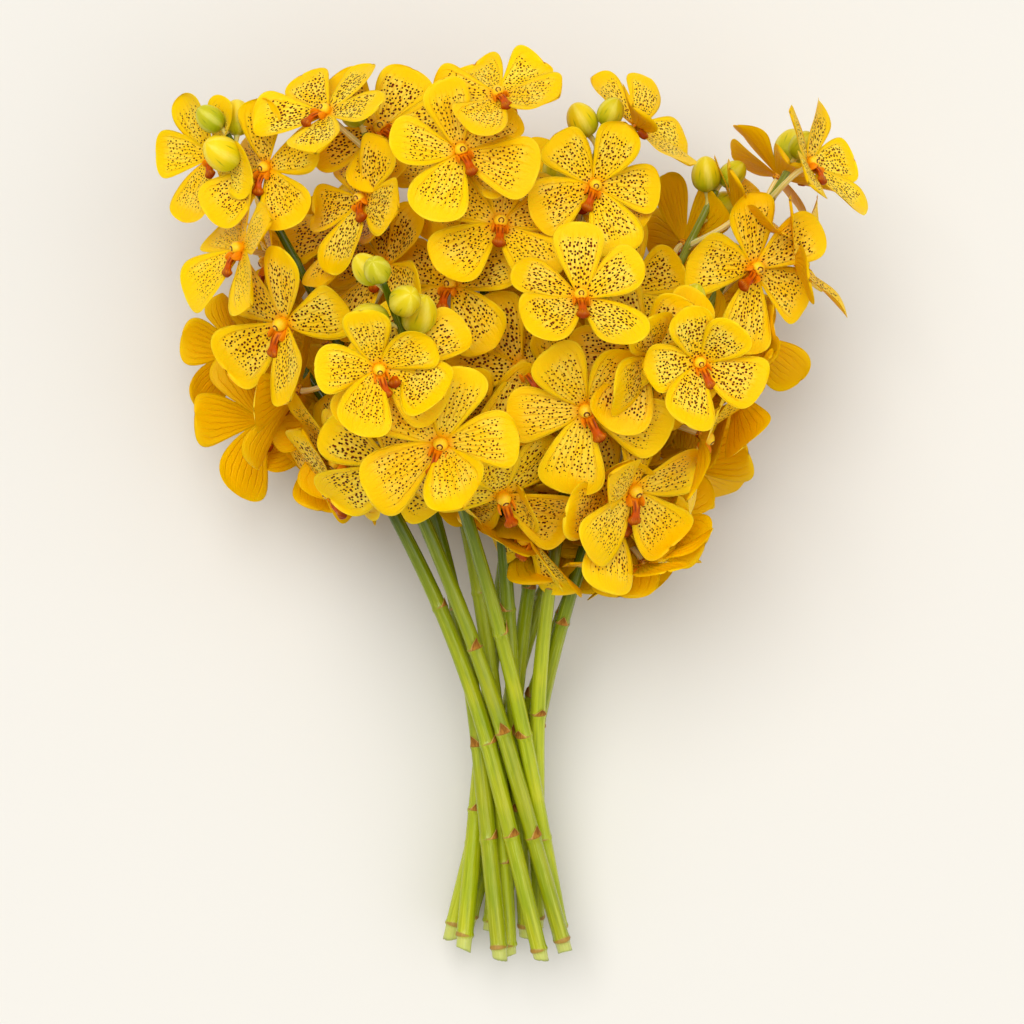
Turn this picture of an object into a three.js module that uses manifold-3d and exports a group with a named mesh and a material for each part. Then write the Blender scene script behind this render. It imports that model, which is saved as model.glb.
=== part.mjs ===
// A bunch of cut spotted orchids, laid down: twelve spiralled stems, with the flowers that grow on them.
// Millimetres. +X across the bunch, +Y from the cut ends to the flowers, +Z up from the surface it lies on.
import * as THREE from "three";
import { mergeVertices } from "three/addons/utils/BufferGeometryUtils.js";
import Module from "manifold-3d";

const wasm = await Module();
wasm.setup();

// ---- Driving dimensions ----
const clearance = 0.35; // between any two pieces that meet
const slivers = 0.05; // detail finer than this is smoothed away

const stem = { radius: 3.8, rachisRadius: 2.7, tipRadius: 1.5, sides: 7, curveSteps: 11 };
const bundle = {
  neck: { x: 0, y: -112 }, // where the stems cross
  gap: 0.5, // between neighbouring stems at the neck
  inner: 3, // stems in the inner ring, and the rest stand round them
  innerTurn: 30, // degrees
  lean: { x: 0.28, z: 0.18 }, // how far a stem of the outer ring leans per millimetre
  rise: 0.2, // how steeply the bunch climbs from its cut ends to its flowers
  cutY: -196,
  cutStagger: 6,
};
const head = {
  middle: [0, 88, 86],
  half: [142, 104, 80],
  low: [-156, -34, 0],
  high: [156, 196, 180],
  // past this far to each side, the side towards the neck rises by this slope, this much at most
  shoulders: [
    { side: -1, from: -15, slope: 1.2, most: 38 },
    { side: 1, from: 70, slope: 1.4, most: 120 },
  ],
};
const flower = {
  pedicel: 25, // from the stem to the back of the flower
  pedicelLeast: 14,
  pedicelMost: 33,
  pedicelRadius: 1.4,
  pedicelBend: 9, // how far it leaves the flower's back before it turns to the stem
  pedicelEnd: 0.96, // the share of the way to the stem where it stops, clear of it
  halfThickness: 0.6, // of a tepal
  hub: 1.2, // where the tepals start, from the flower's middle
  reflex: 0.1, // how far a tepal's tip bends back, as a share of its length
  spacing: 18, // along the stem
  bare: 120, // from the neck to the lowest flower, at least
  bareLeft: 0.2, // and more of it for each millimetre that the tip stands to the left
  turn: 137.5, // degrees from each flower to the next
  lift: 0.35, // how far it faces along the bunch, as a share of what its place in the head would give
  stray: 1.15, // how far its face strays to any side
  flexed: 20, // degrees that its tepals' pitches range over
};
// Each tepal's angle round the flower in degrees, its length, its breadth as a share of that, and its forward
// pitch at rest.
const tepals = [
  { name: "dorsal_sepal", angle: 90, length: 34, broad: 0.5, pitch: 12 },
  { name: "right_petal", angle: 23, length: 33, broad: 0.54, pitch: 4 },
  { name: "left_petal", angle: 157, length: 33, broad: 0.54, pitch: 4 },
  { name: "right_sepal", angle: -47, length: 37, broad: 0.56, pitch: 10 },
  { name: "left_sepal", angle: 227, length: 37, broad: 0.56, pitch: 10 },
];
const claw = 0.03; // a tepal's half width at its base, as a share of its length
const tepalRows = [0, 0.4, 0.76, 0.98]; // shares of its length where its solid has a section
const column = { back: -1.5, front: 5.5 }; // off the flower's face
const lip = {
  width: 7,
  drop: 14,
  reach: 7,
  root: { narrower: 0.4, off: 3, thick: 2.2 }, // its upper end, under the column
  tip: { broad: 0.3, thick: 1.3 },
};
const bud = { pitch: 9, radius: 8, least: 0.75, length: 1.15, stalk: 9, stalkRadius: 1.1, turn: 150 };
const mostFlowerNodes = 48; // those with the most open places; the ones inside the head are left out

// One line for each stem: the tip it grows to, how many buds it carries there, and its lowest flower's turn.
// The outer ring comes first, from the right of the neck round over the top, then the inner ring.
const sprays = [
  { tip: [44, 98, 138], buds: 2, turn: 20 },
  { tip: [-52, 98, 170], buds: 5, turn: 200 },
  { tip: [-122, 166, 104], buds: 3, turn: 60 },
  { tip: [-112, 92, 52], buds: 2, turn: 120 },
  { tip: [-74, 126, 44], buds: 2, turn: 0 },
  { tip: [22, 150, 40], buds: 2, turn: 90 },
  { tip: [92, 144, 78], buds: 3, turn: 240 },
  { tip: [124, 154, 98], buds: 2, turn: 300 },
  { tip: [76, 84, 128], buds: 2, turn: 150 },
  { tip: [-16, 168, 128], buds: 1, turn: 45 },
  { tip: [-62, 166, 112], buds: 1, turn: 330 },
  { tip: [40, 166, 118], buds: 3, turn: 210 },
];

const settling = { rounds: 300, soft: 0.035, reach: 84, touch: 3, floor: 1.4, firmFrom: 0.7, solidStep: 5 };

const colours = {
  petal: { color: 0xf4b90a, roughness: 0.55, metalness: 0 },
  stem: { color: 0x7d9a1c, roughness: 0.45, metalness: 0 },
};

// ---- Small vector helpers on plain arrays ----
const radians = (degrees) => (degrees * Math.PI) / 180;
const add = (a, b, k = 1) => [a[0] + k * b[0], a[1] + k * b[1], a[2] + k * b[2]];
const dot = (a, b) => a[0] * b[0] + a[1] * b[1] + a[2] * b[2];
const cross = (a, b) => [a[1] * b[2] - a[2] * b[1], a[2] * b[0] - a[0] * b[2], a[0] * b[1] - a[1] * b[0]];
const size = (a) => Math.sqrt(dot(a, a));
const unit = (a) => add([0, 0, 0], a, 1 / size(a));
const mix = (...pairs) => unit(pairs.reduce((sum, [vector, share]) => add(sum, vector, share), [0, 0, 0]));
const square = (vector, axis) => unit(add(vector, axis, -dot(vector, axis))); // vector made square to axis
// A number from 0 to 1 that depends only on its seed.
function chance(seed) {
  const value = Math.sin(seed * 12.9898 + 4.1414) * 43758.5453;
  return value - Math.floor(value);
}

// ---- Stems ----
const pitchOfStems = 2 * stem.radius + bundle.gap;
const innerRing = pitchOfStems / (2 * Math.sin(Math.PI / bundle.inner)) + 0.1;
const outerRing = innerRing + pitchOfStems;
const outerCount = sprays.length - bundle.inner;

// A stem's place in the bundle: its ring and its angle round the neck.
function slotOf(index) {
  const inside = index >= outerCount;
  const angle = inside
    ? radians(bundle.innerTurn + ((index - outerCount) * 360) / bundle.inner)
    : radians((index * 360) / outerCount);
  return { ring: inside ? innerRing : outerRing, angle };
}

// How far a stem stands from the bundle's axis, this far above the neck.
function bundleOffset({ ring, angle }, above) {
  const share = (ring / outerRing) * above;
  return [
    ring * Math.cos(angle) - share * bundle.lean.x * Math.sin(angle),
    ring * Math.sin(angle) + share * bundle.lean.z * Math.cos(angle),
  ];
}
const cutAbove = (slot) =>
  bundle.cutY - bundle.cutStagger * Math.sin(slot.angle - Math.PI / 4) - bundle.neck.y;
const slots = sprays.map((_, index) => slotOf(index));
// The neck stands high enough for the lowest cut end to lie on the surface.
const neckZ = Math.max(
  ...slots.map((slot) => stem.radius - bundleOffset(slot, cutAbove(slot))[1] - bundle.rise * cutAbove(slot)),
);

function bundlePoint(slot, above) {
  const [x, z] = bundleOffset(slot, above);
  return [bundle.neck.x + x, bundle.neck.y + above, neckZ + z + bundle.rise * above];
}

// Which way is out of the head at a point: square to an ellipsoid round its middle.
const outward = (p, lift = 1) =>
  unit(p.map((value, i) => ((i === 1 ? lift : 1) * (value - head.middle[i])) / head.half[i] ** 2));

// A stem's centreline: straight through the neck, then one curve to its tip.
class StemLine extends THREE.Curve {
  constructor(index) {
    super();
    const slot = slots[index];
    this.cut = bundlePoint(slot, cutAbove(slot));
    this.neck = bundlePoint(slot, 0);
    this.tip = sprays[index].tip;
    const lead = unit(add(this.neck, this.cut, -1));
    const span = add(this.tip, this.neck, -1);
    const far = size(span);
    const end = mix([unit(span), 0.8], [outward(this.tip), 0.3]);
    const handle = far / 3;
    this.handles = [add(this.neck, lead, handle), add(this.tip, end, -handle)];
    this.below = size(add(this.neck, this.cut, -1));
    this.bendSteps = 60;
    this.marks = [0];
    for (let i = 1; i <= this.bendSteps; i++) {
      const [a, b] = [this.bend((i - 1) / this.bendSteps), this.bend(i / this.bendSteps)];
      this.marks.push(this.marks[i - 1] + size(add(b, a, -1)));
    }
    this.length = this.below + this.marks[this.bendSteps];
  }
  bend(t) {
    const s = 1 - t;
    const weights = [s * s * s, 3 * s * s * t, 3 * s * t * t, t * t * t];
    return [0, 1, 2].map(
      (i) =>
        weights[0] * this.neck[i] +
        weights[1] * this.handles[0][i] +
        weights[2] * this.handles[1][i] +
        weights[3] * this.tip[i],
    );
  }
  // The point this far along the stem from its cut end.
  at(distance) {
    if (distance <= this.below) {
      return add(this.cut, add(this.neck, this.cut, -1), distance / this.below);
    }
    const past = Math.min(distance - this.below, this.marks[this.bendSteps]);
    let i = 1;
    while (i < this.bendSteps && this.marks[i] < past) i++;
    const part = (past - this.marks[i - 1]) / (this.marks[i] - this.marks[i - 1]);
    return this.bend((i - 1 + part) / this.bendSteps);
  }
  along(distance) {
    const half = 1;
    const [a, b] = [this.at(Math.max(distance - half, 0)), this.at(Math.min(distance + half, this.length))];
    return unit(add(b, a, -1));
  }
  getPoint(t, target = new THREE.Vector3()) {
    return target.set(...this.at(t * this.length));
  }
}
const lines = sprays.map((_, index) => new StemLine(index));

// As many flowers as a spray has room for, and the distance from its cut end to the lowest of them.
const budZone = (index) => bud.pitch * sprays[index].buds;
function flowersOn(index) {
  const line = lines[index];
  const bare = flower.bare + flower.bareLeft * Math.max(0, -line.tip[0]);
  return Math.floor((line.length - line.below - bare - budZone(index)) / flower.spacing) + 1;
}
const firstFlower = (index) =>
  lines[index].length - budZone(index) - (flowersOn(index) - 1) * flower.spacing;
function stemRadiusAt(index, distance) {
  const bare = firstFlower(index);
  if (distance <= lines[index].below) return stem.radius;
  if (distance <= bare) {
    const share = (distance - lines[index].below) / (bare - lines[index].below);
    return stem.radius + share * (stem.rachisRadius - stem.radius);
  }
  const share = (distance - bare) / (lines[index].length - bare);
  return stem.rachisRadius + share * (stem.tipRadius - stem.rachisRadius);
}

// Two directions square to a line, the first of them level.
function squareFrame(tangent) {
  const level = unit(cross([0, 0, 1], tangent));
  return [level, cross(tangent, level)];
}

// ---- Where buds and flowers grow ----
function budsOf(index) {
  const line = lines[index];
  const { buds, turn } = sprays[index];
  return Array.from({ length: buds }, (_, j) => {
    const last = j === buds - 1;
    const distance = line.length - bud.pitch * (buds - 1 - j);
    const base = line.at(distance);
    const tangent = line.along(distance);
    const [level, over] = squareFrame(tangent);
    const angle = radians(turn + bud.turn * j);
    const aside = add(add([0, 0, 0], level, Math.cos(angle)), over, Math.sin(angle));
    const axis = last
      ? mix([tangent, 1], [aside, 0.35])
      : mix([aside, 0.8], [tangent, 0.7], [outward(base), 0.4]);
    const younger = (buds - 1 - j) / Math.max(buds - 1, 1); // 1 for the oldest bud, 0 for the one at the tip
    const radius = bud.radius * (bud.least + (1 - bud.least) * younger);
    const middle = add(base, axis, bud.stalk * (last ? 0.5 : 1) + radius * bud.length * 0.8);
    return { base, axis, radius, middle };
  });
}

function seedFlowers() {
  const seeds = [];
  sprays.forEach(({ turn }, index) => {
    const line = lines[index];
    const flowers = flowersOn(index);
    for (let j = 0; j < flowers; j++) {
      const age = j / (flowers - 1); // 0 for the oldest flower, 1 for the youngest
      const distance = firstFlower(index) + j * flower.spacing;
      const root = line.at(distance);
      const tangent = line.along(distance);
      const [level, over] = squareFrame(tangent);
      const angle = radians(turn + flower.turn * j);
      const aside = add(add([0, 0, 0], level, Math.cos(angle)), over, Math.sin(angle));
      const out = outward(root);
      const scale = 1.03 - 0.16 * age * age + 0.08 * (chance(index * 20 + j) - 0.5);
      const reach = mix([aside, 0.6], [out, 0.8], [tangent, 0.3]);
      const centre = add(root, reach, flower.pedicel + stemRadiusAt(index, distance));
      const high = centre[2] > head.middle[2] ? 0.35 : 0; // flowers on the upper side face up a little more
      const stray = [0, 1, 2].map((k) => chance(index * 43 + j * 17 + k) - 0.5);
      const outwards = outward(centre, flower.lift);
      const face = mix([reach, 0.35], [outwards, 0.9], [[0, 0, 1], high], [stray, flower.stray]);
      const roll = radians(80 * (chance(index * 31 + j * 7 + 3) - 0.5));
      const up = square(mix([tangent, 0.7], [[0, 1, 0], 0.6]), face);
      const across = cross(up, face);
      const upRolled = add(add([0, 0, 0], up, Math.cos(roll)), across, Math.sin(roll));
      const closed = 14 * age ** 3;
      seeds.push({
        index,
        j,
        age,
        root,
        scale,
        centre,
        right: cross(upRolled, face),
        up: upRolled,
        face,
        pitch: tepals.map((t, k) => {
          const flexed = flower.flexed * (chance(index * 57 + j * 13 + k) - 0.5);
          return radians(t.pitch + closed + flexed);
        }),
      });
    }
  });
  return seeds;
}

// A tepal's half width at share s of its length, as a share of its length.
const halfWidth = (tepal, s) =>
  claw * (1 - s) + tepal.broad * s ** 0.85 * Math.sqrt(Math.max(1 - s ** 5, 0));

// A point of a tepal in the flower's own frame: s along it as a share, w to its side and h off its face.
function tepalPoint(tepal, pitch, s, w, h) {
  const angle = radians(tepal.angle);
  const [cosA, sinA, cosP, sinP] = [Math.cos(angle), Math.sin(angle), Math.cos(pitch), Math.sin(pitch)];
  const far = s * tepal.length;
  const off = h - flower.reflex * tepal.length * s * s;
  const out = flower.hub + far * cosP - off * sinP;
  return [cosA * out - sinA * w, sinA * out + cosA * w, far * sinP + off * cosP];
}

// Points that stand for a flower while it settles: s, and w as a share of the half width.
const tepalMarks = [
  [0.2, 0], [0.4, -0.5], [0.4, 0.5], [0.6, -0.68], [0.6, 0], [0.6, 0.68],
  [0.8, -0.68], [0.8, 0], [0.8, 0.68], [0.97, -0.5], [0.97, 0.5],
];
const coreMarks = [[0, 0, 0], [0, -4, 6], [0, -lip.drop, lip.reach]];
const stalkMarks = [0.35, 0.65]; // shares of the way from the flower's back to its stem

// The head's lowest y at this x.
function lowSide(x) {
  const rises = head.shoulders.map(({ side, from, slope, most }) =>
    Math.min(Math.max(slope * (side * x - from), 0), most),
  );
  return head.low[1] + rises[0] + rises[1];
}

function marksOf(f) {
  const marks = [];
  tepals.forEach((tepal, k) => {
    for (const [s, share] of tepalMarks) {
      const w = share * halfWidth(tepal, s) * tepal.length;
      marks.push({ local: tepalPoint(tepal, f.pitch[k], s, w, 0), tepal: k, arm: s * tepal.length });
    }
  });
  coreMarks.forEach((local) => marks.push({ local, tepal: -1, arm: 0 }));
  return marks;
}

function toWorld(f, local) {
  const [x, y, z] = local.map((value) => value * f.scale);
  return [0, 1, 2].map((i) => f.centre[i] + f.right[i] * x + f.up[i] * y + f.face[i] * z);
}

// ---- Settling: flowers push each other, the stems and the surface apart until none of them touch ----
function settle(flowers, fixed) {
  const starts = flowers.map((f) => ({ ...f, pitch: [...f.pitch] }));
  for (let round = 0; round < settling.rounds; round++) {
    const soft = round < settling.firmFrom * settling.rounds ? settling.soft : settling.soft * 0.15;
    const moves = flowers.map((f) => {
      const marks = marksOf(f).map((m) => ({ ...m, at: toWorld(f, m.local) }));
      const back = toWorld(f, [0, 0, -2]);
      for (const share of stalkMarks) {
        marks.push({ tepal: -1, arm: 0, at: add(back, add(f.root, back, -1), share) });
      }
      const [flex, arms] = [tepals.map(() => 0), tepals.map(() => 0)];
      return { marks, push: [0, 0, 0], pushes: 0, spin: [0, 0, 0], spins: 0, flex, arms };
    });
    const nudge = (i, mark, shift) => {
      const [f, move] = [flowers[i], moves[i]];
      const arm = add(mark.at, f.centre, -1);
      move.push = add(move.push, shift);
      move.pushes += 1;
      move.spin = add(move.spin, cross(arm, shift));
      move.spins += dot(arm, arm) + 100;
      if (mark.tepal >= 0) {
        const angle = radians(tepals[mark.tepal].angle);
        const pitch = f.pitch[mark.tepal];
        const [a, n] = [-Math.sin(pitch), Math.cos(pitch)];
        const normal = [0, 1, 2].map(
          (k) => a * (Math.cos(angle) * f.right[k] + Math.sin(angle) * f.up[k]) + n * f.face[k],
        );
        move.flex[mark.tepal] += dot(shift, normal) * mark.arm * f.scale;
        move.arms[mark.tepal] += (mark.arm * f.scale) ** 2 + 50;
      }
    };
    const part = (i, a, other, room, share, onOther) => {
      const gap = add(a.at, other, -1);
      const apart = dot(gap, gap);
      if (apart >= room * room || apart === 0) return;
      const far = Math.sqrt(apart);
      const shift = add([0, 0, 0], gap, (share * (room - far)) / far);
      nudge(i, a, shift);
      if (onOther) onOther(add([0, 0, 0], shift, -1));
    };
    const near = (i, f) => moves[i].marks.filter((m) => size(add(m.at, f.centre, -1)) < settling.reach / 2);
    for (let i = 0; i < flowers.length; i++) {
      for (let j = i + 1; j < flowers.length; j++) {
        if (size(add(flowers[i].centre, flowers[j].centre, -1)) > settling.reach) continue;
        const others = near(j, flowers[i]);
        for (const a of near(i, flowers[j])) {
          for (const b of others) {
            part(i, a, b.at, 2 * settling.touch, 0.5, (shift) => nudge(j, b, shift));
          }
        }
      }
      for (const solid of fixed) {
        if (size(add(flowers[i].centre, solid.at, -1)) > settling.reach / 2 + solid.radius) continue;
        for (const a of moves[i].marks) {
          if (a.local) part(i, a, solid.at, settling.touch * 0.7 + solid.radius, 1);
        }
      }
      for (const a of moves[i].marks) {
        for (let k = 0; k < 3; k++) {
          const low = k === 1 ? lowSide(a.at[0]) : head.low[k];
          const under = low + (k === 2 ? settling.floor : 0) - a.at[k];
          const over = a.at[k] - head.high[k];
          const shift = [0, 0, 0];
          shift[k] = Math.max(under, 0) - Math.max(over, 0);
          if (shift[k] !== 0) nudge(i, a, shift);
        }
      }
    }
    flowers.forEach((f, i) => {
      const [move, start] = [moves[i], starts[i]];
      if (move.pushes) f.centre = add(f.centre, move.push, 1 / move.pushes);
      let spin = move.spins ? add([0, 0, 0], move.spin, 1 / move.spins) : [0, 0, 0];
      for (const axis of ["right", "up", "face"]) spin = add(spin, cross(f[axis], start[axis]), 0.5 * soft);
      f.face = unit(add(f.face, cross(spin, f.face)));
      f.right = square(add(f.right, cross(spin, f.right)), f.face);
      f.up = cross(f.face, f.right);
      f.centre = add(f.centre, add(start.centre, f.centre, -1), soft);
      f.pitch = f.pitch.map((pitch, k) => {
        const flexed = pitch + (move.arms[k] ? move.flex[k] / move.arms[k] : 0);
        return Math.min(Math.max(flexed + soft * (start.pitch[k] - flexed), radians(-48)), radians(62));
      });
      const stalk = add(f.centre, f.root, -1);
      const long = size(stalk);
      const fit = Math.min(Math.max(long, flower.pedicelLeast), flower.pedicelMost + stem.rachisRadius);
      f.centre = add(f.root, stalk, fit / long);
    });
  }
  return flowers;
}

// ---- Solids ----
// A closed cylinder whose rings are moved onto sections of equally many points, from its lower end up.
function loft(sections) {
  const sides = sections[0].length;
  const last = sections.length - 1;
  const geometry = new THREE.CylinderGeometry(1, 1, last, sides, last);
  const points = geometry.attributes.position;
  for (let i = 0; i < points.count; i++) {
    const [x, y, z] = [points.getX(i), points.getY(i), points.getZ(i)];
    const section = sections[Math.round(y + last / 2)];
    const side = Math.round((Math.atan2(x, z) / (2 * Math.PI)) * sides + sides) % sides;
    const middle = section.reduce((sum, p) => add(sum, p, 1 / sides), [0, 0, 0]);
    points.setXYZ(i, ...(Math.hypot(x, z) < 0.5 ? middle : section[side]));
  }
  return solidOf(geometry);
}

function solidOf(geometry) {
  geometry.deleteAttribute("normal");
  geometry.deleteAttribute("uv");
  const merged = mergeVertices(geometry, 1e-4);
  const made = new wasm.Manifold(
    new wasm.Mesh({
      numProp: 3,
      vertProperties: new Float32Array(merged.attributes.position.array),
      triVerts: new Uint32Array(merged.index.array),
    }),
  );
  return made;
}

// A ring of points round a place, square to a direction.
function ringAround(middle, tangent, radius, sides) {
  const [level, over] = squareFrame(tangent);
  return Array.from({ length: sides }, (_, k) => {
    const angle = (2 * Math.PI * k) / sides;
    return add(add(middle, level, radius * Math.cos(angle)), over, radius * Math.sin(angle));
  });
}

function stemTube(index, grow = 0) {
  const line = lines[index];
  const places = [0];
  for (let i = 0; i <= stem.curveSteps; i++) {
    places.push(line.below + ((line.length - line.below) * i) / stem.curveSteps);
  }
  const sections = places.map((distance, i) => {
    const tangent = line.along(distance);
    const beyond = i === 0 ? -grow : i === places.length - 1 ? grow : 0;
    const middle = add(line.at(distance), tangent, beyond);
    return ringAround(middle, tangent, stemRadiusAt(index, distance) + grow, stem.sides);
  });
  return loft(sections);
}

function budSolid({ base, axis, radius, middle }, grow = 0) {
  const shares = [-1, -0.5, 0.5, 1];
  const long = radius * bud.length;
  const sections = shares.map((share) => {
    const round = Math.sqrt(1 - share * share);
    const place = add(middle, axis, share * (long + grow));
    return ringAround(place, axis, Math.max(radius * round, 0.8) + grow, 6);
  });
  const stalkEnds = [base, add(middle, axis, -0.7 * long)];
  const stalk = stalkEnds.map((p) => ringAround(p, axis, bud.stalkRadius + grow, 4));
  return loft(sections).add(loft(stalk));
}

function stemSolid(index) {
  return budsOf(index).reduce((solid, one) => solid.add(budSolid(one)), stemTube(index));
}

// A flower's tepals, joined. Grown, it is the room that its neighbours leave it.
function bladesOf(f, grow = 0) {
  const thick = (flower.halfThickness + grow) / f.scale;
  return tepals
    .map((tepal, k) =>
      loft(
        tepalRows.map((s, row) => {
          const reach = s + (row === tepalRows.length - 1 ? grow / tepal.length : 0);
          const w = halfWidth(tepal, s) * tepal.length + grow;
          return [[-w, -thick], [w, -thick], [w, thick], [-w, thick]].map(([side, h]) =>
            toWorld(f, tepalPoint(tepal, f.pitch[k], reach, side, h)),
          );
        }),
      ),
    )
    .reduce((all, one) => all.add(one));
}

// The column with the lip under it, and the stalk back to the stem.
function coreOf(f, grow = 0) {
  const corners = [[-1, -1], [1, -1], [1, 1], [-1, 1]];
  const half = lip.width / 2 + grow;
  const block = loft(
    [column.back - grow, column.front + grow].map((z) =>
      corners.map(([x, y]) => toWorld(f, [x * half, y * half, z])),
    ),
  );
  // The lip leans forward from the column, away from the dorsal sepal.
  const lipEnds = [
    { y: 0, x: lip.width / 2 - lip.root.narrower, z: lip.root.off, thick: lip.root.thick },
    { y: -lip.drop - grow, x: lip.width * lip.tip.broad, z: lip.reach, thick: lip.tip.thick },
  ];
  const tongue = loft(
    lipEnds.map((end) =>
      corners.map(([x, z]) => toWorld(f, [x * (end.x + grow), end.y, end.z + z * (end.thick + grow)])),
    ),
  );
  const back = toWorld(f, [0, 0, 0]);
  const bend = toWorld(f, [0, 0, -flower.pedicelBend]);
  const stalk = [0, flower.pedicelEnd / 2, flower.pedicelEnd].map((t) => {
    const weights = [(1 - t) ** 2, 2 * t * (1 - t), t * t];
    return [back, bend, f.root].reduce((sum, p, k) => add(sum, p, weights[k]), [0, 0, 0]);
  });
  const tube = loft(
    stalk.map((p, i) => {
      const [before, after] = [stalk[Math.max(i - 1, 0)], stalk[Math.min(i + 1, stalk.length - 1)]];
      return ringAround(p, unit(add(after, before, -1)), flower.pedicelRadius + grow, 4);
    }),
  );
  return block.add(tongue).add(tube);
}

const boxesMeet = (a, b) =>
  [0, 1, 2].every((i) => a.min[i] < b.max[i] + clearance && b.min[i] < a.max[i] + clearance);
function largestOf(solid) {
  return solid.decompose().reduce((best, one) => (one.volume() > best.volume() ? one : best));
}
function cutBy(solid, others) {
  const box = solid.boundingBox();
  const met = others.filter((other) => boxesMeet(box, other.boundingBox()));
  return met.reduce((rest, other) => rest.subtract(other), solid);
}

// ---- The bunch ----
const stemSolids = sprays.map((_, index) => stemSolid(index));
const obstacles = sprays.flatMap((spray, index) => {
  const line = lines[index];
  const along = [];
  for (let d = line.below; d <= line.length; d += settling.solidStep) {
    along.push({ at: line.at(d), radius: stemRadiusAt(index, d) });
  }
  return [...along, ...budsOf(index).map((one) => ({ at: one.middle, radius: one.radius * 1.15 }))];
});
const settled = settle(seedFlowers(), obstacles);

// How open a flower's place is, from 0 to 1: its neighbours' directions cancel where they stand all round it.
// Nearer ones count for more.
function openness(f) {
  const others = settled.filter((other) => other !== f).map((other) => add(f.centre, other.centre, -1));
  const sum = others.reduce((total, away) => add(total, away, 1 / size(away) ** 3), [0, 0, 0]);
  return size(sum) / others.reduce((total, away) => total + 1 / size(away) ** 2, 0);
}
const edge = settled.map(openness).sort((a, b) => b - a)[mostFlowerNodes - 1];
const shown = settled.filter((f) => openness(f) >= edge);

const grownStems = sprays.map((_, index) => stemTube(index, clearance));
const grownBuds = sprays.map((_, index) => budsOf(index).map((one) => budSolid(one, clearance)));
const grownCores = shown.map((f) => coreOf(f, clearance));
const cores = shown.map((f, i) =>
  largestOf(cutBy(coreOf(f), [...grownStems, ...grownBuds.flat(), ...grownCores.slice(0, i)])),
);
const grownBlades = shown.map((f) => bladesOf(f, clearance));

function named(name, solid, look, middle) {
  const { vertProperties, triVerts } = largestOf(solid.asOriginal().simplify(slivers)).getMesh();
  const geometry = new THREE.BufferGeometry();
  geometry.setAttribute("position", new THREE.Float32BufferAttribute(vertProperties, 3));
  geometry.setIndex([...triVerts]);
  geometry.translate(-middle[0], -middle[1], -middle[2]);
  geometry.computeVertexNormals();
  const mesh = new THREE.Mesh(geometry, new THREE.MeshStandardMaterial(look));
  mesh.name = name;
  mesh.position.set(...middle);
  return mesh;
}

const twoDigits = (number) => String(number + 1).padStart(2, "0");
const bunch = new THREE.Group();
sprays.forEach((_, index) => {
  const spray = new THREE.Group();
  spray.add(named(`stem_${twoDigits(index)}`, stemSolids[index], colours.stem, lines[index].neck));
  shown.forEach((f, i) => {
    if (f.index !== index) return;
    const others = [
      ...grownStems,
      ...grownBuds.flat(),
      ...grownCores.filter((_, k) => k !== i),
      ...grownBlades.slice(0, i),
    ];
    const solid = largestOf(cutBy(bladesOf(f), others).add(cores[i]));
    spray.add(named(`flower_${twoDigits(index)}_${f.j + 1}`, solid, colours.petal, f.centre));
  });
  bunch.add(spray);
});

export default bunch;
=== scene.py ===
# A bunch of cut, spotted yellow orchids, laid down. Shapes are worked out in millimetres.
import math

import bpy
import numpy as np
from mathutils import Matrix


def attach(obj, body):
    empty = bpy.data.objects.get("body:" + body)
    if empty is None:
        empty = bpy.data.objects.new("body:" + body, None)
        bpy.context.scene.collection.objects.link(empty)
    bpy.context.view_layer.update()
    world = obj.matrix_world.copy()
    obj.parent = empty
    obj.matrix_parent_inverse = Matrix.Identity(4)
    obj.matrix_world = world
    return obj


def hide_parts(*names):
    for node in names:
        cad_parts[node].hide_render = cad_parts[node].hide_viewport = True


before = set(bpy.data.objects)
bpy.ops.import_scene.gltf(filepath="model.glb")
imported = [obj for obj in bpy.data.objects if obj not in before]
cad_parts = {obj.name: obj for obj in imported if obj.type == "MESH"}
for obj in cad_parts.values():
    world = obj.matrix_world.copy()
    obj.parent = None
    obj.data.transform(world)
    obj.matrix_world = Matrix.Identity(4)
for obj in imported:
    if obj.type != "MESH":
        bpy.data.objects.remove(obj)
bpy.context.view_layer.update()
metres = 0.001

# Sizes shared with the solids. A stem's radius is given in the bunch, at its lowest flower and at its
# tip.
stemSizes = {"radius": 3.8, "rachisRadius": 2.7, "tipRadius": 1.5, "solidEvery": 5}
bundle = {
    "neckX": 0, "neckY": -112, "gap": 0.5, "inner": 3, "innerRoom": 0.1, "innerTurn": 30,
    "leanX": 0.28, "leanZ": 0.18, "rise": 0.2, "cutY": -196, "cutStagger": 6,
}
headMiddle, headHalf = np.array([0, 88, 86.0]), np.array([142, 104, 80.0])
headLow, headHigh = np.array([-156, -34, 0.0]), np.array([156, 196, 180.0])
# Past this far out to a side, the head's near side rises, by this slope and this much at most.
shoulders = {"left": (-15, 1.2, 38), "right": (70, 1.4, 120)}
flowerSizes = {
    "pedicel": 25, "pedicelLeast": 14, "pedicelMost": 33, "hub": 1.2, "reflex": 0.1, "claw": 0.03,
    "spacing": 18, "bare": 120, "bareLeft": 0.2, "turn": 137.5, "lift": 0.35, "stray": 1.15,
    "flexed": 20, "aged": 14, "roll": 80, "upperLift": 0.35, "lipDrop": 14, "lipReach": 7,
}
budSizes = {
    "pitch": 9, "radius": 8, "least": 0.75, "length": 1.15, "stalk": 9, "turn": 150, "room": 1.15,
}
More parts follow.
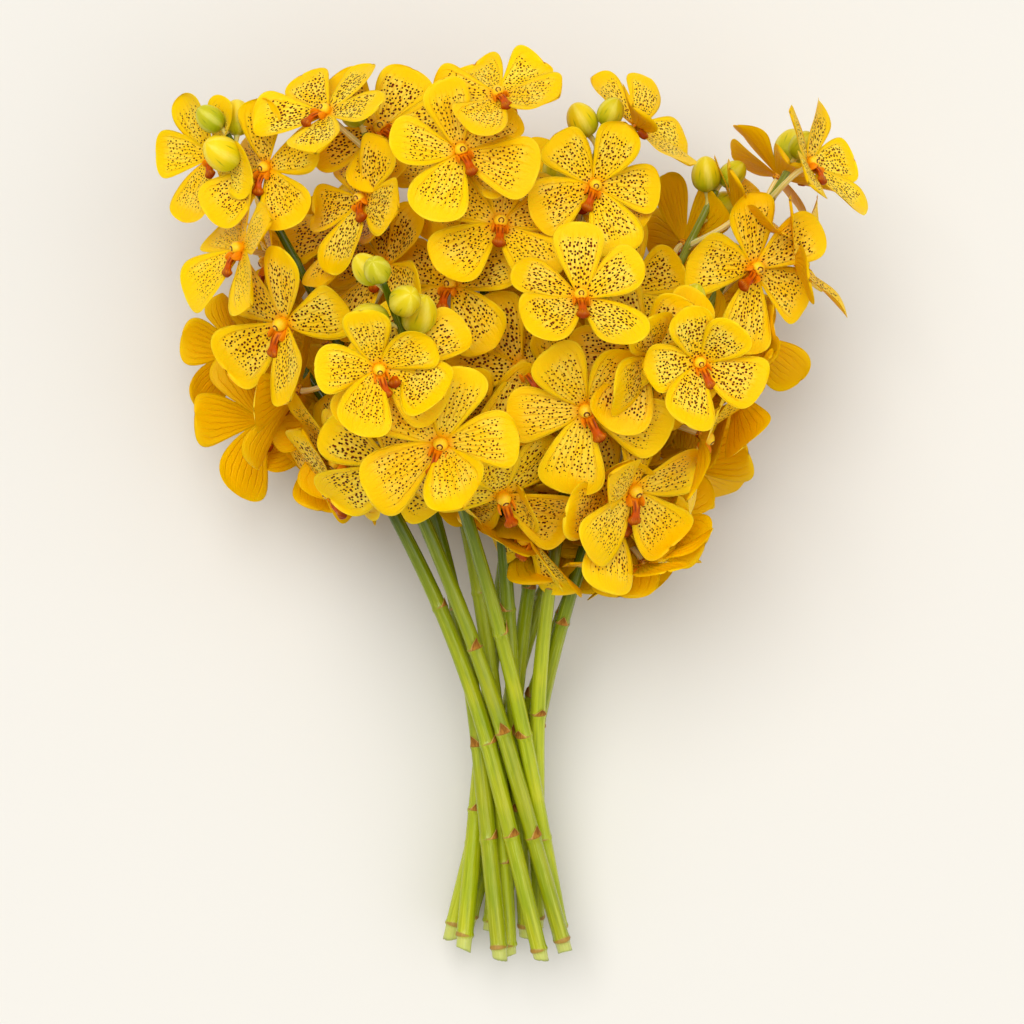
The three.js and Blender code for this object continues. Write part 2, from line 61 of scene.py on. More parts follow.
# Each tepal's angle in degrees, length, breadth as a share of its length, and forward pitch.
tepalShapes = np.array([
    [90, 34, 0.5, 12],
    [23, 33, 0.54, 4],
    [157, 33, 0.54, 4],
    [-47, 37, 0.56, 10],
    [227, 37, 0.56, 10],
])
tepalCount = len(tepalShapes)
tepalAngle, tepalLength = np.radians(tepalShapes[:, 0]), tepalShapes[:, 1]
tepalBroad, tepalPitch = tepalShapes[:, 2], tepalShapes[:, 3]
# One line for each stem: the tip it grows to, its buds, and its lowest flower's turn.
sprays = [
    ((44, 98, 138), 2, 20),
    ((-52, 98, 170), 5, 200),
    ((-122, 166, 104), 3, 60),
    ((-112, 92, 52), 2, 120),
    ((-74, 126, 44), 2, 0),
    ((22, 150, 40), 2, 90),
    ((92, 144, 78), 3, 240),
    ((124, 154, 98), 2, 300),
    ((76, 84, 128), 2, 150),
    ((-16, 168, 128), 1, 45),
    ((-62, 166, 112), 1, 330),
    ((40, 166, 118), 3, 210),
]
# How the flowers are pushed apart: touch is half the room between two marks, soft the pull back to
# where they grow, and the pull falls to late of it from the share firmFrom of the rounds on.
settling = {
    "rounds": 300, "soft": 0.035, "firmFrom": 0.7, "late": 0.15, "reach": 84, "touch": 3,
    "solidTouch": 0.7, "floor": 1.4, "refresh": 6, "margin": 8, "spinWeight": 100, "spinBack": 0.5,
    "flexWeight": 50, "pitchLeast": -48, "pitchMost": 62,
}


# Vectors are arrays whose last axis is x, y, z.
def unit(a):
    return a / np.linalg.norm(a, axis=-1, keepdims=True)


def mixed(*pairs):
    return unit(sum(np.asarray(vector, float) * share for vector, share in pairs))


def square(vector, axis):
    return unit(vector - (vector * axis).sum(-1, keepdims=True) * axis)


def chance(seed):  # from 0 to 1, and always the same for one seed
    value = np.sin(np.asarray(seed, float) * 12.9898 + 4.1414) * 43758.5453
    return value - np.floor(value)


def levelFrame(tangent):  # a level direction square to the tangent, and the one square to both
    level = unit(np.cross([0, 0, 1.0], tangent))
    return level, np.cross(tangent, level)


def outward(p, lift=1):  # out of the head, square to an ellipsoid round its middle
    return unit((p - headMiddle) * np.array([1, lift, 1]) / headHalf**2)


# The stems' centrelines pass through the neck in an outer and an inner ring, and spiral round it.
stemPitch = 2 * stemSizes["radius"] + bundle["gap"]
innerRing = stemPitch / (2 * math.sin(math.pi / bundle["inner"])) + bundle["innerRoom"]
outerRing = innerRing + stemPitch
outerCount = len(sprays) - bundle["inner"]


def slotOf(index):
    if index < outerCount:
        return outerRing, math.radians(index * 360 / outerCount)
    turn = bundle["innerTurn"] + (index - outerCount) * 360 / bundle["inner"]
    return innerRing, math.radians(turn)


def bundleOffset(slot, above):  # from the bundle's axis, this far above the neck
    ring, angle = slot
    share = ring / outerRing * above
    x = ring * math.cos(angle) - share * bundle["leanX"] * math.sin(angle)
    return x, ring * math.sin(angle) + share * bundle["leanZ"] * math.cos(angle)


def cutAbove(slot):  # how far above the neck the stem is cut, which is below nothing
    stagger = bundle["cutStagger"] * math.sin(slot[1] - math.pi / 4)
    return bundle["cutY"] - stagger - bundle["neckY"]


# The neck stands as high as lets the lowest cut end lie on the surface.
slots = [slotOf(index) for index in range(len(sprays))]
neckZ = max(
    stemSizes["radius"] - bundleOffset(slot, cutAbove(slot))[1] - bundle["rise"] * cutAbove(slot)
    for slot in slots
)


def bundlePoint(slot, above):
    x, z = bundleOffset(slot, above)
    z = neckZ + z + bundle["rise"] * above
    return np.array([bundle["neckX"] + x, bundle["neckY"] + above, z])


class StemLine:  # straight through the neck, then one cubic curve to the tip
    def __init__(self, index):
        slot = slots[index]
        self.cut, self.neck = bundlePoint(slot, cutAbove(slot)), bundlePoint(slot, 0)
        self.tip = np.array(sprays[index][0], float)
        span = self.tip - self.neck
        handle = np.linalg.norm(span) / 3
        end = mixed((unit(span), 0.8), (outward(self.tip), 0.3))
        self.handles = self.neck + unit(self.neck - self.cut) * handle, self.tip - end * handle
        self.below = np.linalg.norm(self.neck - self.cut)
        self.steps = np.linspace(0, 1, 61)
        steps = np.linalg.norm(np.diff(self.bend(self.steps), axis=0), axis=1)
        self.marks = np.append(0, np.cumsum(steps))
        self.length = self.below + self.marks[-1]
        zone = budSizes["pitch"] * sprays[index][1]
        bare = flowerSizes["bare"] + flowerSizes["bareLeft"] * max(0, -self.tip[0])
        room = self.length - self.below - bare - zone
        self.flowers = math.floor(room / flowerSizes["spacing"]) + 1
        self.bare = self.length - zone - (self.flowers - 1) * flowerSizes["spacing"]

    def bend(self, t):
        t = np.asarray(t)[..., None]
        s = 1 - t
        a, b = self.handles
        return s**3 * self.neck + 3 * s * s * t * a + 3 * s * t * t * b + t**3 * self.tip

    def at(self, distance):  # the points these distances along the stem from its cut end
        distance = np.asarray(distance, float)
        straight = self.cut + (self.neck - self.cut) * (distance / self.below)[..., None]
        curved = self.bend(np.interp(distance - self.below, self.marks, self.steps))
        return np.where((distance <= self.below)[..., None], straight, curved)

    def along(self, distance):
        distance = np.asarray(distance, float)
        ahead, behind = np.minimum(distance + 1, self.length), np.maximum(distance - 1, 0)
        return unit(self.at(ahead) - self.at(behind))

    def radius(self, distance):
        places = [0, self.below, self.bare, self.length]
        sizes = [stemSizes[name] for name in ("radius", "radius", "rachisRadius", "tipRadius")]
        return np.interp(distance, places, sizes)


lines = [StemLine(index) for index in range(len(sprays))]


def budsOf(index):
    line, (tip, count, turn) = lines[index], sprays[index]
    found = []
    for j in range(count):
        last = j == count - 1
        distance = line.length - budSizes["pitch"] * (count - 1 - j)
        base, tangent = line.at(distance), line.along(distance)
        level, over = levelFrame(tangent)
        angle = math.radians(turn + budSizes["turn"] * j)
        aside = level * math.cos(angle) + over * math.sin(angle)
        axis = mixed((aside, 0.8), (tangent, 0.7), (outward(base), 0.4))
        if last:
            axis = mixed((tangent, 1), (aside, 0.35))
        least = budSizes["least"]
        radius = budSizes["radius"] * (least + (1 - least) * (count - 1 - j) / max(count - 1, 1))
        stalk = budSizes["stalk"] * (0.5 if last else 1)
        middle = base + axis * (stalk + radius * budSizes["length"] * 0.8)
        bud = {"base": base, "axis": axis, "radius": radius, "middle": middle, "tangent": tangent}
        found.append(bud)
    return found


buds = [budsOf(index) for index in range(len(sprays))]


# The flowers' places: where they grow, then pushed apart until few of them touch.
def seedFlowers():
    seeds = []
    for index, (tip, budCount, turn) in enumerate(sprays):
        line = lines[index]
        for j in range(line.flowers):
            age = j / (line.flowers - 1)  # 0 for the oldest flower, 1 for the youngest
            distance = line.bare + j * flowerSizes["spacing"]
            root, tangent = line.at(distance), line.along(distance)
            level, over = levelFrame(tangent)
            angle = math.radians(turn + flowerSizes["turn"] * j)
            aside = level * math.cos(angle) + over * math.sin(angle)
            reach = mixed((aside, 0.6), (outward(root), 0.8), (tangent, 0.3))
            centre = root + reach * (flowerSizes["pedicel"] + line.radius(distance))
            high = flowerSizes["upperLift"] if centre[2] > headMiddle[2] else 0
            stray = chance(index * 43 + j * 17 + np.arange(3)) - 0.5
            out = outward(centre, flowerSizes["lift"])
            strays = (stray, flowerSizes["stray"])
            face = mixed((reach, 0.35), (out, 0.9), ((0, 0, 1), high), strays)
            roll = math.radians(flowerSizes["roll"] * (chance(index * 31 + j * 7 + 3) - 0.5))
            up = square(mixed((tangent, 0.7), ((0, 1, 0), 0.6)), face)
            up = up * math.cos(roll) + np.cross(up, face) * math.sin(roll)
            flexed = chance(index * 57 + j * 13 + np.arange(tepalCount)) - 0.5
            flexed = flowerSizes["flexed"] * flexed
            pitch = np.radians(tepalPitch + flowerSizes["aged"] * age**3 + flexed)
            scale = 1.03 - 0.16 * age * age + 0.08 * (chance(index * 20 + j) - 0.5)
            basis = np.array([np.cross(up, face), up, face])
            seeds.append((index, j, root, scale, centre, basis, pitch))
    names = ("index", "number", "root", "scale", "centre", "basis", "pitch")
    return dict(zip(names, (np.array(column) for column in zip(*seeds))))


# A tepal's half width as a share of its length: its claw's, which falls evenly, and its breadth times
# the share along to the power 0.85 and the root of one minus that share to the power 5.
def halfWidth(s, broad):
    return flowerSizes["claw"] * (1 - s) + broad * s**0.85 * np.sqrt(np.maximum(1 - s**5, 0))


# A tepal's points in its flower's own frame: s along it, w to its side and h off its face. It runs
# out from the middle at its angle and pitch, and its tip bends back by a share of its length times
# s squared.
def tepalPoints(pitch, s, w, h):
    pitch, angle, length = pitch[..., None], tepalAngle[:, None], tepalLength[:, None]
    off = h - flowerSizes["reflex"] * length * s * s
    out = flowerSizes["hub"] + s * length * np.cos(pitch) - off * np.sin(pitch)
    x, y = np.cos(angle) * out - np.sin(angle) * w, np.sin(angle) * out + np.cos(angle) * w
    return np.stack([x, y, s * length * np.sin(pitch) + off * np.cos(pitch)], -1)


# The marks that are kept apart: on each tepal, as shares along and across it, then on the flower's
# middle, then as shares of the way down its pedicel.
tepalMarks = np.array([
    (0.2, 0), (0.4, -0.5), (0.4, 0.5), (0.6, -0.68), (0.6, 0), (0.6, 0.68),
    (0.8, -0.68), (0.8, 0), (0.8, 0.68), (0.97, -0.5), (0.97, 0.5),
])
lipMark = [0, -flowerSizes["lipDrop"], flowerSizes["lipReach"]]
coreMarks = np.array([[0, 0, 0], [0, -4, 6], lipMark], float)
stalkMarks = np.array([0.35, 0.65])


def nearPairs(a, b, reach):  # index pairs of points closer than reach
    apart = (a * a).sum(-1)[:, None] + (b * b).sum(-1) - 2 * a @ b.T
    return np.nonzero(apart < reach * reach)


# Each round moves, turns and flexes every flower by the mean of its marks' shifts, each shift being
# the way out of what its mark touches, and then pulls it back a little to where it grows.
def settle(f, solidAt, solidRadius):
    count = len(f["scale"])
    start = {name: f[name].copy() for name in ("centre", "basis", "pitch")}
    s, share = tepalMarks.T
    w = share * halfWidth(s, tepalBroad[:, None]) * tepalLength[:, None]
    loose = len(coreMarks) + len(stalkMarks)
    each = tepalCount * len(tepalMarks) + loose
    owner = np.repeat(np.arange(count), each)
    tepal = np.append(np.repeat(np.arange(tepalCount), len(tepalMarks)), -np.ones(loose, int))
    tepal = np.tile(tepal, count)
    arm = np.append((s * tepalLength[:, None]).ravel(), np.zeros(loose))
    arm = np.tile(arm, count) * f["scale"][owner]
    firm = np.tile(np.arange(each) < each - len(stalkMarks), count)
    half, touch, margin = settling["reach"] / 2, settling["touch"], settling["margin"]
    lateFrom = settling["firmFrom"] * settling["rounds"]
    for turn in range(settling["rounds"]):
        soft = settling["soft"] * (1 if turn < lateFrom else settling["late"])
        centre, basis = f["centre"], f["basis"]
        local = tepalPoints(f["pitch"], s, w, np.zeros_like(w)).reshape(count, -1, 3)
        local = np.concatenate([local, np.broadcast_to(coreMarks, (count, len(coreMarks), 3))], 1)
        at = centre[:, None] + f["scale"][:, None, None] * (local @ basis)
        back = centre - 2 * f["scale"][:, None] * basis[:, 2]
        stalk = back[:, None] + stalkMarks[:, None] * (f["root"] - back)[:, None]
        at = np.concatenate([at, stalk], 1).reshape(-1, 3)
        if turn % settling["refresh"] == 0:
            found = [[], []]
            for i in range(count - 1):
                low, high = i * each, (i + 1) * each
                ours, theirs = nearPairs(at[low:high], at[high:], 2 * touch + margin)
                found[0].append(ours + low)
                found[1].append(theirs + high)
            pairA, pairB = (np.concatenate(column) for column in found)
            reach = touch * settling["solidTouch"] + solidRadius.max() + margin
            markNear, solidNear = nearPairs(at, solidAt, reach)
            keep = firm[markNear]
            markNear, solidNear = markNear[keep], solidNear[keep]
        # flowers against each other
        a, b = pairA, pairB
        gap = at[a] - at[b]
        far = np.linalg.norm(gap, axis=1)
        hit = (far < 2 * touch) & (far > 0)
        a, b, gap, far = a[hit], b[hit], gap[hit], far[hit]
        mine, other = centre[owner[a]], centre[owner[b]]
        near = np.linalg.norm(mine - other, axis=1) <= settling["reach"]
        near &= np.linalg.norm(at[a] - other, axis=1) < half
        near &= np.linalg.norm(at[b] - mine, axis=1) < half
        a, b = a[near], b[near]
        shift = gap[near] * (0.5 * (2 * touch - far[near]) / far[near])[:, None]
        marks, shifts = [a, b], [shift, -shift]
        # flowers against stems and buds
        gap = at[markNear] - solidAt[solidNear]
        far = np.linalg.norm(gap, axis=1)
        room = touch * settling["solidTouch"] + solidRadius[solidNear]
        away = np.linalg.norm(centre[owner[markNear]] - solidAt[solidNear], axis=1)
        hit = (far < room) & (far > 0) & (away <= half + solidRadius[solidNear])
        marks.append(markNear[hit])
        shifts.append(gap[hit] * ((room[hit] - far[hit]) / far[hit])[:, None])
        # flowers inside the head's box, on the surface
        rise = sum(
            np.clip(slope * (side * at[:, 0] - far), 0, most)
            for side, (far, slope, most) in zip((-1, 1), shoulders.values())
        )
        for k, raised in enumerate((0, rise, settling["floor"])):
            below, above = headLow[k] + raised - at[:, k], at[:, k] - headHigh[k]
            inside = np.maximum(below, 0) - np.maximum(above, 0)
            outside = np.nonzero(inside)[0]
            marks.append(outside)
            shifts.append(np.eye(3)[k] * inside[outside][:, None])
        mark, shift = np.concatenate(marks), np.concatenate(shifts)
        who, lever = owner[mark], at[mark] - centre[owner[mark]]

        def total(values, slots=who, length=count):
            return np.bincount(slots, values, length)

        pushes = total(np.ones(len(who)))
        push = np.stack([total(shift[:, k]) for k in range(3)], 1) / np.maximum(pushes, 1)[:, None]
        twist = np.cross(lever, shift)
        spins = total((lever * lever).sum(1) + settling["spinWeight"])
        spin = np.stack([total(twist[:, k]) for k in range(3)], 1)
        spin = spin / np.where(spins > 0, spins, 1)[:, None]
        pitch = f["pitch"]
        across = np.cos(tepalAngle)[:, None] * basis[:, None, 0]
        across = across + np.sin(tepalAngle)[:, None] * basis[:, None, 1]
        normal = -np.sin(pitch)[..., None] * across + np.cos(pitch)[..., None] * basis[:, None, 2]
        on = tepal[mark] >= 0
        spot, lengths = who[on] * tepalCount + tepal[mark][on], arm[mark][on]
        flex = (shift[on] * normal[who[on], tepal[mark][on]]).sum(1) * lengths
        flex = total(flex, spot, count * tepalCount).reshape(-1, tepalCount)
        arms = total(lengths**2 + settling["flexWeight"], spot, count * tepalCount)
        arms = arms.reshape(-1, tepalCount)
        spin = spin + settling["spinBack"] * soft * np.cross(basis, start["basis"]).sum(1)
        face = unit(basis[:, 2] + np.cross(spin, basis[:, 2]))
        right = square(basis[:, 0] + np.cross(spin, basis[:, 0]), face)
        f["basis"] = np.stack([right, np.cross(face, right), face], 1)
        centre = centre + push
        centre = centre + soft * (start["centre"] - centre)
        pitch = pitch + np.where(arms > 0, flex / np.where(arms > 0, arms, 1), 0)
        ends = math.radians(settling["pitchLeast"]), math.radians(settling["pitchMost"])
        f["pitch"] = np.clip(pitch + soft * (start["pitch"] - pitch), *ends)
        stalk = centre - f["root"]
        long = np.linalg.norm(stalk, axis=1, keepdims=True)
        most = flowerSizes["pedicelMost"] + stemSizes["rachisRadius"]
        f["centre"] = f["root"] + stalk * np.clip(long, flowerSizes["pedicelLeast"], most) / long
    return f


solidAt, solidRadius = [], []
for line, ends in zip(lines, buds):
    distances = np.arange(line.below, line.length + 1e-9, stemSizes["solidEvery"])
    solidAt += [*line.at(distances)] + [bud["middle"] for bud in ends]
    solidRadius += [*line.radius(distances)] + [bud["radius"] * budSizes["room"] for bud in ends]
flowers = settle(seedFlowers(), np.array(solidAt), np.array(solidRadius))
flowerNames = [f"flower_{i + 1:02d}_{j + 1}" for i, j in zip(flowers["index"], flowers["number"])]
solidCount = sum(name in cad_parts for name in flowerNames)
print("settled", len(flowerNames), "flowers,", solidCount, "of them solids")


# Every part is a grid of rings carried from one end to the other, closed by a point at each end.
def closedTube(rows, around):
    ring = np.arange(rows * around).reshape(rows, around)
    turned = np.roll(ring, -1, 1)
    walls = np.stack([ring[:-1], turned[:-1], turned[1:], ring[1:]], -1).reshape(-1, 4)
    first = np.stack([np.full(around, rows * around), turned[0], ring[0]], 1)
    last = np.stack([np.full(around, rows * around + 1), ring[-1], turned[-1]], 1)
    return walls, np.concatenate([first, last])


def withEnds(values):  # a grid's values, then their averages over its first and last rings
    rows = values.reshape(-1, values.shape[-1])
    return np.concatenate([rows, values[0].mean(0)[None], values[-1].mean(0)[None]])


# Where petals lie on the surface, heights below press are pressed together above rest: the height is
# rest plus (press - rest) times e to the power (height - press) / (press - rest).
press, rest = 3.0, 0.2


# A part has its rings (rows, around, 3), its look's number, or one for each row of faces, and what
# the looks read: place, the spot in millimetres on the part laid out flat or straight, then leaf and
# tone, as each look says.
def makePiece(name, parts, looks):
    points, quads, triangles, quadLooks, endLooks, first = [], [], [], [], [], 0
    fields = {"place": [], "leaf": [], "tone": []}
    for part in parts:
        rings = part["rings"]
        rows, around = rings.shape[:2]
        walls, ends = closedTube(rows, around)
        points.append(withEnds(rings))
        quads.append(walls + first)
        triangles.append(ends + first)
        rowLooks = np.broadcast_to(part["look"], rows - 1)
        quadLooks.append(np.repeat(rowLooks, around))
        endLooks.append(np.repeat(rowLooks[[0, -1]], around))
        for field, values in fields.items():
            value = np.asarray(part.get(field, (0, 0, 0)), float)
            values.append(withEnds(np.broadcast_to(value, rings.shape)))
        first += len(points[-1])
    points = np.concatenate(points)
    height = points[:, 2]
    pressed = rest + (press - rest) * np.exp((height - press) / (press - rest))
    points[:, 2] = np.where(height < press, pressed, height)
    points *= metres
    quads, triangles = np.concatenate(quads), np.concatenate(triangles)
    mesh = bpy.data.meshes.new(name)
    mesh.vertices.add(len(points))
    mesh.vertices.foreach_set("co", points.ravel())
    corners = np.concatenate([quads.ravel(), triangles.ravel()])
    mesh.loops.add(len(corners))
    mesh.loops.foreach_set("vertex_index", corners)
    sizes = np.repeat([4, 3], [len(quads), len(triangles)])
    mesh.polygons.add(len(sizes))
    mesh.polygons.foreach_set("loop_start", np.cumsum(sizes) - sizes)
    faceLooks = np.concatenate(quadLooks + endLooks).astype(np.int32)
    mesh.polygons.foreach_set("material_index", faceLooks)
    mesh.polygons.foreach_set("use_smooth", np.ones(len(sizes), bool))
    for field, values in fields.items():
        layer = mesh.attributes.new(field, "FLOAT_VECTOR", "POINT")
        layer.data.foreach_set("vector", np.concatenate(values).astype(np.float32).ravel())
    mesh.update(calc_edges=True)
    for look in looks:
        mesh.materials.append(look)
    piece = bpy.data.objects.new(name, mesh)
    bpy.context.scene.collection.objects.link(piece)
    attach(piece, "root")
    return piece


# Rings square to a path: each point is the path's, plus its width times the cosine to the side, plus
# its height times the sine over it. Widths and heights are one for each row, or for each point.
def carried(path, widths, around, heights=None, aside=None):
    tangent = unit(np.gradient(path, axis=0))
    if aside is None:
        aside = np.eye(3)[np.abs(tangent).mean(0).argmin()]
    across = square(np.broadcast_to(aside, tangent.shape), tangent)
    over = np.cross(tangent, across)
    angle = np.linspace(0, 2 * np.pi, around, endpoint=False)
    rows = len(path)
    widths = np.broadcast_to(widths.reshape(rows, -1), (rows, around))
    heights = widths if heights is None else np.broadcast_to(heights.reshape(rows, -1), widths.shape)
    ringX, ringY = widths * np.cos(angle), heights * np.sin(angle)
    rings = path[:, None] + ringX[..., None] * across[:, None] + ringY[..., None] * over[:, None]
    run = np.append(0, np.cumsum(np.linalg.norm(np.diff(path, axis=0), axis=1)))
    straight = np.stack([ringX, ringY, np.broadcast_to(run[:, None], ringX.shape)], -1)
    return rings, straight


def bezier(a, b, c, rows):  # from a towards b, then to c
    t = np.linspace(0, 1, rows)[:, None]
    return (1 - t) ** 2 * a + 2 * t * (1 - t) * b + t * t * c


# Looks. A display colour's parts run to 255 and are made linear here.
def srgb(red, green, blue):
    share = np.array([red, green, blue]) / 255
    return (*np.where(share <= 0.04045, share / 12.92, ((share + 0.055) / 1.055) ** 2.4), 1.0)


class Value:  # a node's output, on which sums can be written
    def __init__(self, look, socket):
        self.look, self.socket = look, socket

    def __add__(self, other):
        return self.look.math("ADD", self, other)

    def __sub__(self, other):
        return self.look.math("SUBTRACT", self, other)

    def __rsub__(self, other):
        return self.look.math("SUBTRACT", other, self)

    def __mul__(self, other):
        return self.look.math("MULTIPLY", self, other)

    def __truediv__(self, other):
        return self.look.math("DIVIDE", self, other)

    __radd__ = __add__
    __rmul__ = __mul__


class Look:  # a material while it is made
    def __init__(self, name, constants):
        self.material = bpy.data.materials.new(name)
        self.material.use_nodes = True
        self.tree = self.material.node_tree
        self.shader = self.tree.nodes["Principled BSDF"]
        for socket, value in constants.items():
            self.shader.inputs[socket].default_value = value

    def node(self, kind, settings=None, inputs=None, output=0):
        made = self.tree.nodes.new("ShaderNode" + kind)
        for name, value in (settings or {}).items():
            setattr(made, name, value)
        for name, value in (inputs or {}).items():
            if isinstance(value, Value):
                self.tree.links.new(value.socket, made.inputs[name])
            else:
                made.inputs[name].default_value = value
        return Value(self, made.outputs[output])

    def math(self, operation, a, b=0.0):
        return self.node("Math", {"operation": operation}, {0: a, 1: b})

    def rise(self, value, low, high):  # smoothly from 0 at low to 1 at high, and low may be the larger
        settings = {"interpolation_type": "SMOOTHSTEP"}
        if low > high:
            return 1 - self.node("MapRange", settings, {0: value, 1: high, 2: low})
        return self.node("MapRange", settings, {0: value, 1: low, 2: high})

    def mix(self, a, b, share):
        return self.node("Mix", {"data_type": "RGBA"}, {0: share, 6: a, 7: b}, 2)

    def field(self, name):
        return self.node("Attribute", {"attribute_name": name}, None, "Vector")

    def numbers(self, name, *axes):  # a field's numbers, counted from 0
        vector = self.field(name)
        return [self.node("SeparateXYZ", None, {0: vector}, axis) for axis in axes]

    def stretched(self, vector, x, y, z):
        return self.node("VectorMath", {"operation": "MULTIPLY"}, {0: vector, 1: (x, y, z)})

    def noise(self, vector, detail=2.0, roughness=0.5, scale=1.0):
        inputs = {"Vector": vector, "Scale": scale, "Detail": detail, "Roughness": roughness}
        return self.node("TexNoise", None, inputs)

    def voronoi(self, vector, scale, output="Distance"):
        settings = {"voronoi_dimensions": "2D", "feature": "F1"}
        inputs = {"Vector": vector, "Scale": scale, "Randomness": 0.85}
        return self.node("TexVoronoi", settings, inputs, output)

    def feed(self, socket, value):
        self.tree.links.new(value.socket, self.shader.inputs[socket])

    def bump(self, height, distance, strength):
        inputs = {"Height": height, "Distance": distance, "Strength": strength}
        self.feed("Normal", self.node("Bump", None, inputs))


# Petal: leaf holds the share of the half width, the share of the length, and 1 on the face and 0 on
# the back; tone holds the tepal's own shade from 0 to 1, and how much of the face is spotted.
petalColours = {
    "gold": srgb(253, 204, 0),
    # paleSheen: the spotted zone's real paler ground, also used as a painted sheen
    "paleSheen": srgb(255, 230, 88),
    "warm": srgb(240, 158, 0),
    "back": srgb(242, 186, 0),
    "rim": srgb(255, 224, 40),
    "spot": srgb(62, 22, 0),
    "rust": srgb(138, 52, 0),
}


def petalLook():
    look = Look("petal", {
        "Roughness": 0.4, "Specular IOR Level": 0.08, "Subsurface Weight": 0.25,
        "Subsurface Scale": 0.002, "Subsurface Radius": (1.0, 0.55, 0.08),
    })
    place, (w, run, own) = look.field("place"), look.numbers("place", 0, 1, 2)
    share, along, front = look.numbers("leaf", 0, 1, 2)
    shade, spotted = look.numbers("tone", 0, 1)
    aside = look.math("ABSOLUTE", share)
    cloud = look.noise(look.stretched(place, 0.12, 0.07, 1), 3.0)
    ragged = look.noise(look.stretched(place, 0.45, 0.45, 1), 1.0) * 0.24 - 0.12
    zone = look.rise(aside + ragged, 0.86, 0.6) * look.rise(along + ragged * 0.6, 0.86, 0.7)
    zone = zone * look.rise(along, 0.03, 0.12) * look.rise(front, 0.45, 0.75) * spotted
    # the spots are the middles of cells a little longer than wide, each of its own size
    spotWidth, spotLength = 1.65, 2.0
    cells = {0: w / spotWidth + own * 37, 1: run / spotLength + own * 61, 2: 0.0}
    cells = look.node("CombineXYZ", None, cells)
    distance = look.voronoi(cells, 1.0)
    cellTone = look.node("SeparateColor", None, {0: look.voronoi(cells, 1.0, "Color")}, 0)
    size = zone * (0.19 + 0.14 * cellTone)
    spot = look.rise(distance - size, 0.03, -0.03) * look.rise(zone, 0.15, 0.4)
    veins = look.math("SINE", share * 26 + look.noise(place, scale=0.3) * 3)
    veins = look.rise(veins, 0.55, 1.0) * look.rise(along, 0.02, 0.3) * look.rise(along, 0.95, 0.6)
    # the spotted zone has a real paler ground, and the cream cloud patches over it are a painted sheen
    # standing in for highlights
    bright = zone * (0.12 + 0.6 * look.rise(cloud, 0.38, 0.65))
    face = look.mix(petalColours["gold"], petalColours["paleSheen"], bright)
    face = look.mix(face, petalColours["warm"], look.rise(along, 0.22, 0.02) * 0.7 + 0.18 * cloud)
    rim = look.rise(aside, 0.9, 0.99) * look.rise(along, 0.1, 0.3) + look.rise(along, 0.955, 0.995)
    face = look.mix(face, petalColours["rim"], rim * 0.6)
    face = look.mix(petalColours["back"], face, look.rise(front, 0.4, 0.6))
    face = look.mix(face, petalColours["warm"], 0.26 * veins + 0.2 * shade)
    rusty = look.rise(cellTone, 0.45, 0.95) * 0.6
    ink = look.mix(petalColours["spot"], petalColours["rust"], rusty)
    look.feed("Base Color", look.mix(face, ink, spot))
    look.feed("Roughness", 0.36 + 0.12 * cloud + 0.1 * spot)
    grain = look.noise(look.stretched(place, 2.2, 0.6, 1))
    look.bump(grain * 0.4 - veins * 0.7 + 0.3 * spot, 0.0006, 0.8)
    return look.material


# Column: leaf's second number runs from its foot to its cap's tip, and its third is 1 on its under
# side.
def columnLook():
    look = Look("column", {
        "Roughness": 0.38, "Specular IOR Level": 0.25, "Subsurface Weight": 0.2,
        "Subsurface Scale": 0.0015,
    })
    along, under = look.numbers("leaf", 1, 2)
    speck = look.noise(look.stretched(look.field("place"), 0.9, 0.9, 0.9))
    edge = along + 0.03 * speck
    ring = look.rise(edge, 0.94, 0.955) * look.rise(edge, 0.998, 0.985)
    ring = ring * look.rise(under + 0.4 * speck, 0.95, 0.6)
    body = look.mix(srgb(246, 176, 2), srgb(255, 208, 30), look.rise(along, 0.5, 0.86))
    # painted shade: the column's under side, below the cap, is darkened to red-brown
    shaded = look.rise(under, 0.35, 0.8) * look.rise(along, 0.93, 0.8)
    body = look.mix(body, srgb(178, 54, 2), shaded)
    foot = look.rise(along, 0.3, 0.1) * look.rise(speck, 0.42, 0.6)
    body = look.mix(body, srgb(150, 50, 4), foot)
    body = look.mix(body, srgb(244, 196, 60), look.rise(edge, 0.97, 0.99))
    look.feed("Base Color", look.mix(body, srgb(96, 36, 2), ring))
    look.feed("Roughness", 0.34 + 0.2 * speck)
    look.bump(speck - ring, 0.0003, 0.5)
    return look.material


# Lip: leaf's second number runs from the column to its tip, and its third is 1 on the ridges.
def lipLook():
    look = Look("lip", {
        "Roughness": 0.28, "Specular IOR Level": 0.1, "Subsurface Weight": 0.15,
        "Subsurface Scale": 0.001, "Subsurface Radius": (1.0, 0.2, 0.02),
    })
    along, ridge = look.numbers("leaf", 1, 2)
    streak = look.noise(look.stretched(look.field("place"), 1.6, 1.6, 0.25), 3.0)
    body = look.mix(srgb(238, 138, 0), srgb(196, 82, 0), look.rise(along, 0.12, 0.6))
    body = look.mix(body, srgb(140, 50, 0), look.rise(along, 0.66, 0.86) * 0.85)
    body = look.mix(body, srgb(122, 38, 0), look.rise(ridge, 0.5, 0.1) * 0.8)
    bright = look.rise(ridge + 0.4 * streak, 1.0, 1.25) * look.rise(along, 0.95, 0.8)
    body = look.mix(body, srgb(240, 150, 16), bright * 0.6)
    look.feed("Base Color", body)
    look.feed("Roughness", 0.22 + 0.25 * streak)
    look.bump(streak, 0.0003, 0.5)
    return look.material


